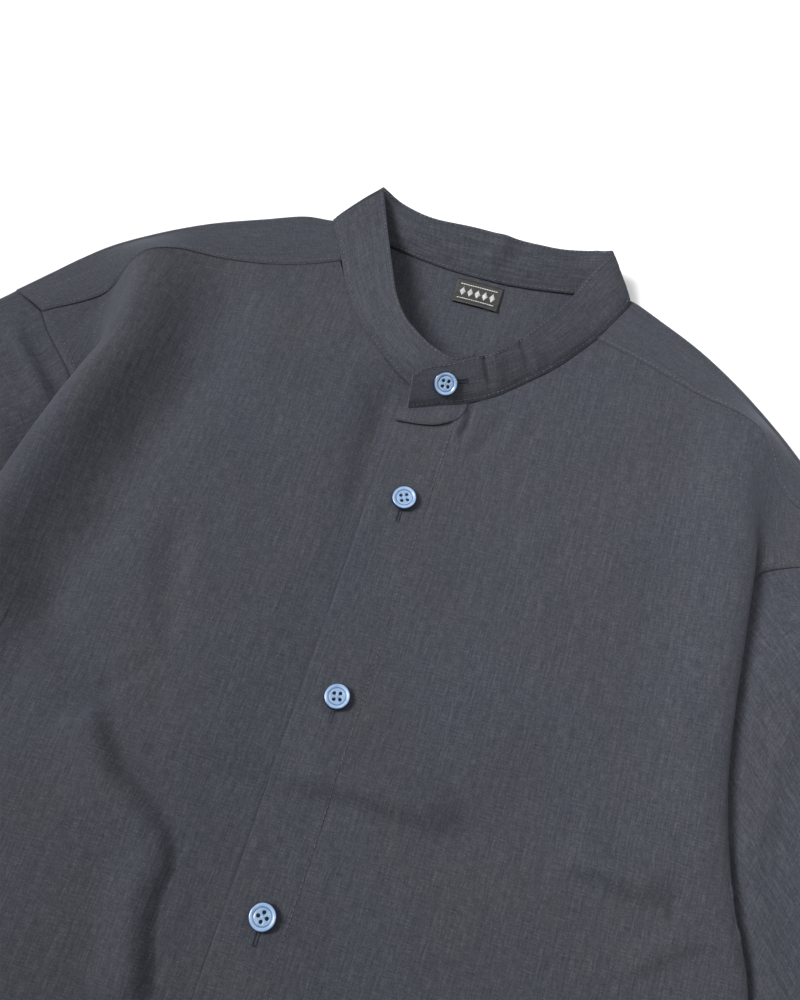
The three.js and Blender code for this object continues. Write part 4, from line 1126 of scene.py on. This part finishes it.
def cuff_grid(side):
    """Outer face of a flattened cuff, whose end laps under its start."""
    a, across, down, width = cuff_frame(side)
    h, r = CUFF_HEIGHT, CUFF_HEIGHT / 2
    low = h - BAND_CLOTH - 0.4
    turn = np.linspace(0, math.pi, 12)
    s = np.concatenate([
        np.linspace(CUFF_LAP[0], CUFF_LAP[1], 10), np.linspace(CUFF_LAP[1] + 10, width - r, 16),
        width - r + r * np.sin(turn[1:-1]), np.linspace(width - r, r, 24), r - r * np.sin(turn[1:-1]),
        np.linspace(r, CUFF_LAP[1] - 0.5, 24)])
    z = np.concatenate([
        np.full(10, low), np.full(16, h), r + r * np.cos(turn[1:-1]), np.zeros(24),
        r - r * np.cos(turn[1:-1]), np.full(24, h)])
    along = np.linspace(0.1, CUFF_LENGTH, CUFF_ROWS)
    grid = a + across * s[None, :, None] + down * along[:, None, None]
    top = (z > h - 0.1) * smoothstep(s, 0, 20)
    grid[..., 2] = z[None] + 0.5 * top[None] * noise(s[None] / 26, along[:, None] / 22, 31)
    return grid


cuff_grids = {side: cuff_grid(side) for side in (RIGHT, LEFT)}
for side, grid in cuff_grids.items():
    inward = -1.0 if side == LEFT else 1.0
    parts = shell_parts(grid, BAND_CLOTH, inward)
    cuff = make_mesh(f"cloth_cuff_{side}", [parts], CLOTH_MATERIAL)
    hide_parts(f"cuff_{side}")


# Stitches: short rods that dip into the cloth at both ends
def rod_parts(a, b, normal, width, height, sides=6):
    """Closed rounded rods from a to b (n, 3), each bent up in its middle along normal."""
    along = b - a
    length = np.linalg.norm(along, axis=1, keepdims=True)
    along = along / np.maximum(length, 1e-6)
    across = np.cross(along, normal)
    across /= np.maximum(np.linalg.norm(across, axis=1, keepdims=True), 1e-6)
    shares = np.array([0.0, 0.22, 0.5, 0.78, 1.0])
    radius = np.array([0.45, 1.0, 1.05, 1.0, 0.45])
    lift = np.array([-0.25, 0.55, 0.8, 0.55, -0.25])
    angles = np.arange(sides) * 2 * math.pi / sides
    rings = []
    for s, r, up in zip(shares, radius, lift):
        centre = a + along * length * s + normal * height * up
        for angle in angles:
            aside = across * (math.cos(angle) * width / 2 * r)
            rings.append(centre + aside + normal * (math.sin(angle) * height / 2 * r))
    points = np.stack(rings, axis=1)
    count = points.shape[1]
    face = []
    for k in range(len(shares) - 1):
        for i in range(sides):
            j = (i + 1) % sides
            face.append((k * sides + i, k * sides + j, (k + 1) * sides + j, (k + 1) * sides + i))
    face = np.array(face)
    caps = np.array([tuple(range(sides))[::-1], tuple(range((len(shares) - 1) * sides, count))])
    starts = (np.arange(len(a)) * count)[:, None, None]
    quads = (face[None] + starts).reshape(-1, 4)
    ends = (caps[None] + starts).reshape(-1, sides)
    return points.reshape(-1, 3), quads, ends


def make_rods(name, runs, material, width, height):
    """One object from rods given as (starts, ends, normals)."""
    points, quads, ends = [], [], []
    count = 0
    for a, b, normal in runs:
        p, q, e = rod_parts(np.asarray(a), np.asarray(b), np.asarray(normal), width, height)
        points.append(p)
        quads += (q + count).tolist()
        ends += (e + count).tolist()
        count += len(p)
    mesh = smooth_mesh(name, np.concatenate(points), quads + ends, material)
    return on_shirt(name, mesh)


# Stitches: sizes, and distances of the rows of stitching from their seams
STITCH_PITCH = 2.5
STITCH_LENGTH = 1.6
STITCH_WIDTH = 0.42
STITCH_HEIGHT = 0.34
ARMHOLE_MARGIN = 5.2
YOKE_MARGIN = 1.9
BAND_STITCHING = ((0.065, 1), (0.955, 2))


def stitch_run(line, normal, seed=0):
    """Stitches along a line of points with normals, at an even pitch with slight wander."""
    run = np.concatenate([[0], np.cumsum(np.linalg.norm(np.diff(line, axis=0), axis=1))])
    starts = np.arange(STITCH_PITCH / 2, run[-1] - STITCH_LENGTH, STITCH_PITCH)
    starts = starts + 0.22 * noise(starts / 2.1, starts * 0, seed)

    def at(s, field):
        return np.stack([np.interp(s, run, field[:, c]) for c in range(3)], 1)
    n = at(starts + STITCH_LENGTH / 2, normal)
    n /= np.maximum(np.linalg.norm(n, axis=1, keepdims=True), 1e-6)
    return at(starts, line), at(starts + STITCH_LENGTH, line), n


def grid_line(grid, row, column, outward):
    """Points and outward normals of a grid at fractional rows and columns."""
    n = normals_of(grid) * outward
    row, column = np.broadcast_arrays(np.asarray(row, float), np.asarray(column, float))
    r = np.clip(row.astype(int), 0, grid.shape[0] - 2)
    c = np.clip(column.astype(int), 0, grid.shape[1] - 2)
    fr, fc = (row - r)[:, None], (column - c)[:, None]

    def mix(field):
        return ((field[r, c] * (1 - fc) + field[r, c + 1] * fc) * (1 - fr)
                + (field[r + 1, c] * (1 - fc) + field[r + 1, c + 1] * fc) * fr)
    return mix(grid), mix(n)


def outward_of(grid, expect_up=True):
    n = normals_of(grid)
    return 1.0 if (n[..., 2].mean() > 0) == expect_up else -1.0


def offset_columns(grid, from_column, distance):
    """Column index at a distance along each row, from a column, towards lower columns."""
    seg = np.linalg.norm(np.diff(grid[:, :from_column + 1], axis=1), axis=2)[:, ::-1]
    run = np.concatenate([np.zeros((len(grid), 1)), np.cumsum(seg, axis=1)], axis=1)
    return np.array([from_column - np.interp(distance, r, np.arange(len(r))) for r in run])


runs = []
band_rows = np.linspace(0, band.shape[0] - 1.001, 900)
band_out = -1.0 if normals_of(band)[0, 12, 1] > 0 else 1.0
band_levels = np.arange(len(BAND_LEVELS))
for level, seed in BAND_STITCHING:
    column = np.interp(level, BAND_LEVELS, band_levels)
    line, n = grid_line(band, band_rows, np.full(len(band_rows), column), band_out)
    runs.append(stitch_run(line, n, seed))
    inside = line - n * (BAND_CLOTH + 0.05)
    runs.append(stitch_run(inside, -n, seed + 4))
for k, side in enumerate((RIGHT, LEFT)):
    grid = front_grids[side]
    chest_out = outward_of(grid[:, :FACING_COLUMNS + CHEST_COLUMNS])
    rows = np.linspace(2, FRONT_ROWS - 0.01, 1500)
    if side == LEFT:
        line, n = grid_line(grid, rows, np.full(len(rows), FACING_COLUMNS - 0.6), chest_out)
        runs.append(stitch_run(line, n, 20))
    arm_rows = np.arange(0, np.argmax(grid[:, -1, 1] < FOLD[side][4][8]) + 1)
    columns = offset_columns(grid, grid.shape[1] - 1, ARMHOLE_MARGIN)[arm_rows]
    line, n = grid_line(grid, arm_rows, columns, chest_out)
    runs.append(stitch_run(line, n, 30 + k))
    wing = wing_grid(side)
    wing_out = outward_of(wing[:, 20:])
    wing_columns = offset_columns(wing, wing.shape[1] - 1, YOKE_MARGIN)
    stations = np.linspace(0, wing.shape[0] - 1.001, 700)
    columns = np.interp(stations, np.arange(len(wing_columns)), wing_columns)
    line, n = grid_line(wing, stations, columns, wing_out)
    runs.append(stitch_run(line, n, 40 + k))
    arm_columns = np.linspace(17, wing.shape[1] - 1.001, 60)
    step = np.linalg.norm(wing[-1, 20:] - wing[-2, 20:], axis=1).mean()
    arm_row = wing.shape[0] - 1 - ARMHOLE_MARGIN / step
    line, n = grid_line(wing, np.full(60, arm_row), arm_columns, wing_out)
    runs.append(stitch_run(line, n, 44 + k))
    hem_columns = np.linspace(1, FACING_COLUMNS + CHEST_COLUMNS, 900)
    line, n = grid_line(grid, np.full(900, FRONT_ROWS - 1.6), hem_columns, chest_out)
    runs.append(stitch_run(line, n, 50 + k))
    cuff = cuff_grids[side]
    cuff_out = outward_of(cuff[:, -20:])
    for row in (1.2, CUFF_ROWS - 2.2):
        columns = np.linspace(cuff.shape[1] - 24, cuff.shape[1] - 1.001, 200)
        line, n = grid_line(cuff, np.full(200, row), columns, cuff_out)
        runs.append(stitch_run(line, n, 60 + k))
make_rods("topstitching", runs, SEAM_THREAD, STITCH_WIDTH, STITCH_HEIGHT)


# Buttons
BUTTON_FACE = 12.7
HOLE_RADIUS = 0.88
HOLE_OUT = 1.42


def button_mesh(name):
    """A turned resin button with a rim, a groove and four holes."""
    r = BUTTON_FACE / 2
    profile = [(0, 0.1), (r * 0.72, 0.0), (r * 0.95, 0.5), (r, 1.0), (r * 0.99, 1.5), (r * 0.96, 1.95),
               (r * 0.92, 2.22), (r * 0.87, 2.34), (r * 0.8, 2.33), (r * 0.74, 2.2), (r * 0.7, 1.96),
               (r * 0.665, 1.74), (r * 0.63, 1.7), (r * 0.59, 1.8), (r * 0.5, 1.85), (r * 0.35, 1.83),
               (0, 1.82)]
    segments = 64
    points = [(0.0, 0.0, profile[0][1])]
    for radius, z in profile[1:-1]:
        for k in range(segments):
            angle = 2 * math.pi * k / segments
            points.append((radius * math.cos(angle), radius * math.sin(angle), z))
    points.append((0.0, 0.0, profile[-1][1]))
    faces = []
    rings = len(profile) - 2
    for k in range(segments):
        n = (k + 1) % segments
        faces.append((0, 1 + n, 1 + k))
        last = 1 + (rings - 1) * segments
        faces.append((last + k, last + n, len(points) - 1))
        for i in range(rings - 1):
            a = 1 + i * segments
            faces.append((a + k, a + n, a + segments + n, a + segments + k))
    mesh = bpy.data.meshes.new(name)
    mesh.from_pydata([tuple(c * MM for c in p) for p in points], [], faces)
    body = linked(name, mesh)
    holes = []
    for sx in (-1, 1):
        for sy in (-1, 1):
            centre = (sx * HOLE_OUT * MM, sy * HOLE_OUT * MM, MM)
            bpy.ops.mesh.primitive_cylinder_add(vertices=20, radius=HOLE_RADIUS * MM, depth=8 * MM,
                                                location=centre)
            hole = bpy.context.active_object
            cut = body.modifiers.new("hole", "BOOLEAN")
            cut.operation = "DIFFERENCE"
            cut.solver = "EXACT"
            cut.object = hole
            holes.append(hole)
    evaluated = body.evaluated_get(bpy.context.evaluated_depsgraph_get())
    result = bpy.data.meshes.new_from_object(evaluated)
    for hole in holes:
        bpy.data.objects.remove(hole)
    bpy.data.objects.remove(body)
    co = np.array([v.co[:] for v in result.vertices])
    shade = np.hypot(co[:, 0], co[:, 1]) / (r * MM)
    # Hole walls and bottoms take the darkest ring colour: painted shade in the holes.
    shade = np.where((co[:, 2] < 1.55 * MM) & (shade < 0.5), 1.0, shade)
    layer = result.attributes.new("button_shade", "FLOAT", "POINT")
    layer.data.foreach_set("value", shade.astype(np.float32))
    for polygon in result.polygons:
        polygon.use_smooth = True
    return result


BUTTON_MATERIAL = button_material()
button_shape = button_mesh("button_form")


def turned_to(normal, twist):
    up = Vector(normal).normalized()
    return up.to_track_quat("Z", "Y").to_matrix().to_4x4() @ Matrix.Rotation(twist, 4, "Z")


def place_button(name, point, normal, twist, node_name):
    mesh = button_shape.copy()
    where = Matrix.Translation(Vector(tuple(np.asarray(point) * MM + ZERO))) @ turned_to(normal, twist)
    mesh.transform(where)
    mesh.materials.clear()
    mesh.materials.append(BUTTON_MATERIAL)
    obj = on_shirt(name, mesh)
    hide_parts(node_name)
    rotation = np.array(turned_to(normal, twist).to_3x3())
    strands = []
    for sx in (-HOLE_OUT, HOLE_OUT):
        for sy in (-HOLE_OUT, HOLE_OUT):
            for shift in (-0.3, 0.3):
                a = np.array([sx + shift, sy * 1.22, 1.15])
                b = np.array([sx + shift, sy * 0.78, 1.15])
                strands.append((point + rotation @ a, point + rotation @ b))
    return strands, np.asarray(normal, float)


def surface_normal(x, y, step=4.0):
    dx = (front_height(LEFT, x - step, y) - front_height(LEFT, x + step, y)) / (2 * step)
    dy = (front_height(LEFT, x, y - step) - front_height(LEFT, x, y + step)) / (2 * step)
    n = np.array([float(dx), float(dy), 1.0])
    return n / np.linalg.norm(n)


thread_runs = []
collar_row = COLLAR_BUTTON_STATION / (len(BAND) - 1) * (BAND_STATIONS - 1)
middle = np.interp(0.48, BAND_LEVELS, band_levels)
(collar_point,), (collar_normal,) = grid_line(band, [collar_row], [middle], band_out)
collar_normal = collar_normal / np.linalg.norm(collar_normal)
places = [("button_1", collar_point + collar_normal * 1.0, collar_normal, -0.35)]
TWISTS = [0.12, -0.3, 0.05, 0.4, -0.1, 0.25]
for i, y in enumerate(BUTTON_Y):
    normal = surface_normal(0.0, y)
    point = np.array([0.0, y, float(front_height(LEFT, 0.0, y))]) + normal * 1.0
    places.append((f"button_{i + 2}", point, normal, TWISTS[i]))
for side in (RIGHT, LEFT):
    a, across, down, width = cuff_frame(side)
    p = a + across * (CUFF_LAP[0] + CUFF_LAP[1]) / 2 + down * CUFF_LENGTH / 2
    p[2] = CUFF_HEIGHT + 0.9
    places.append((f"cuff_button_{side}", p, np.array([0.0, 0.0, 1.0]), 0.3))
for name, point, normal, twist in places:
    strands, n = place_button(f"pearl_{name}", point, normal, twist, name)
    for a, b in strands:
        thread_runs.append((a[None], b[None], n[None]))
make_rods("button_threads", thread_runs, DARK_THREAD, 0.5, 0.5)

# Buttonholes: close bars of thread round a slit
HOLE_LENGTH = 16.0
HOLE_BAR = 1.15
HOLE_PITCH = 0.42


def buttonhole(point, normal, along):
    """Bars on both sides of a slit and across its two ends."""
    along = along - normal * np.dot(along, normal)
    along /= np.linalg.norm(along)
    across = np.cross(normal, along)
    a, b = [], []
    for s in np.arange(-HOLE_LENGTH / 2, HOLE_LENGTH / 2 + 0.01, HOLE_PITCH):
        for sign in (-1, 1):
            base = point + along * s
            a.append(base + across * sign * 0.18)
            b.append(base + across * sign * (0.18 + HOLE_BAR))
    for end in (-1, 1):
        for s in np.arange(-1.2, 1.21, HOLE_PITCH):
            base = point + along * end * HOLE_LENGTH / 2 + across * s
            a.append(base - along * end * 0.2)
            b.append(base + along * end * 0.9)
    n = np.broadcast_to(normal, (len(a), 3))
    return np.array(a), np.array(b), n


hole_runs = []
for name, point, normal, twist in places:
    base = point - normal * 1.0
    if name == "button_1":
        along = band[int(collar_row) - 6, 12] - band[int(collar_row) + 6, 12]
        shift = along / np.linalg.norm(along) * 3.4
        hole_runs.append(buttonhole(base + shift * np.sign(shift[0]) + normal * 0.05, normal, along))
    elif name.startswith("button"):
        along = np.array([0.0, 1.0, 0.0])
        hole_runs.append(buttonhole(base + np.array([0.0, -3.6, 0.0]), normal, along))
    else:
        along = cuff_frame(RIGHT if name.endswith(RIGHT) else LEFT)[1]
        hole_runs.append(buttonhole(base + along * -3.0, normal, along))
make_rods("buttonhole_stitching", hole_runs, DARK_THREAD, 0.34, 0.3)


# Neck label with a woven border of small diamonds
def label_grid():
    t = np.linspace(0, 1, 16)
    s = np.linspace(-0.5, 0.5, 24)
    y = LABEL_TOP_Y - LABEL_DEPTH * t
    lift = CLOTH + 1.0 + 1.3 * t ** 2 + NECK_RISE * smoothstep(y - LABEL_TOP_Y - 1.0, -13, -1)
    x = LABEL_X + LABEL_WIDTH * s
    grid = np.zeros((len(t), len(s), 3))
    grid[..., 0] = x[None]
    grid[..., 1] = y[:, None]
    grid[..., 2] = lift[:, None] + 0.25 * np.cos(s * 5)[None] * t[:, None]
    return grid


label_face = label_grid()
label = make_mesh("neck_label", [shell_parts(label_face, LABEL_CLOTH, 1.0)], label_material())
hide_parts("label")


def label_motif():
    """A row of diamonds between two lines, as flat raised threads."""
    out = outward_of(label_face)
    a, b, n = [], [], []

    def at(share_x, share_y):
        (p,), (q,) = grid_line(label_face, [share_y * 15], [share_x * 23], out)
        return p + q * 0.04, q

    def bar(x0, y0, x1, y1):
        p, q = at(x0, y0)
        r, _ = at(x1, y1)
        a.append(p)
        b.append(r)
        n.append(q)
    for y in (0.2, 0.8):
        for k in range(16):
            bar(0.1 + 0.05 * k, y, 0.145 + 0.05 * k, y)
    for k in range(5):
        cx = 0.18 + 0.16 * k
        for j in range(9):
            level = (j - 4) / 4
            half = 0.062 * (1 - abs(level)) + 0.004
            y = 0.5 + level * 0.17
            bar(cx - half, y, cx + half, y)
    return [(np.array(a), np.array(b), np.array(n))]


make_rods("label_weave", label_motif(), WHITE_THREAD, 0.5, 0.16)

# Floor, light and camera
bpy.ops.mesh.primitive_plane_add(size=9.0, location=(0, 0, 0))
floor = bpy.context.active_object
floor.name = "floor"
floor.data.materials.append(floor_material())


def area_light(name, place, target, size, power, spread=180):
    data = bpy.data.lights.new(name, "AREA")
    data.size = size
    data.energy = power
    data.spread = math.radians(spread)
    light = linked(name, data)
    light.location = place
    light.rotation_euler = (Vector(target) - Vector(place)).to_track_quat("-Z", "Y").to_euler()


area_light("window_light", (-1.3, 0.2, 1.75), (0.34, 0.36, 0), 1.1, 6.6, 38)
area_light("ceiling_light", (0.5, 0.4, 0.8), (0.15, 0.3, 0), 0.6, 3.6)
world = bpy.data.worlds.new("soft_room")
bpy.context.scene.world = world
world.use_nodes = True
world.node_tree.nodes["Background"].inputs[0].default_value = (1, 1, 1, 1)
world.node_tree.nodes["Background"].inputs[1].default_value = 0.26

up = np.array([-math.sin(CAMERA_TURN), math.cos(CAMERA_TURN), 0.0])
centre = np.array([*PICTURE_CENTRE, 0.0])
eye = centre - up * CAMERA_HEIGHT * math.tan(CAMERA_TILT) + np.array([0, 0, CAMERA_HEIGHT])
look = up * math.sin(CAMERA_TILT) + np.array([0, 0, -math.cos(CAMERA_TILT)])
camera_up = up * math.cos(CAMERA_TILT) + np.array([0, 0, math.sin(CAMERA_TILT)])
right = np.cross(look, camera_up)
camera_data = bpy.data.cameras.new("camera")
camera = linked("camera", camera_data)
turn = Matrix((right, camera_up, -look)).transposed().to_4x4()
camera.matrix_world = Matrix.Translation(Vector(tuple(eye * MM + ZERO))) @ turn
camera_data.sensor_fit = "VERTICAL"
camera_data.sensor_height = SENSOR
camera_data.lens = FOCAL_PIXELS / PICTURE_HEIGHT_PIXELS * SENSOR
camera_data.clip_start = 0.01
bpy.context.scene.camera = camera
bpy.context.scene.view_settings.view_transform = "Standard"

bpy.context.view_layer.update()
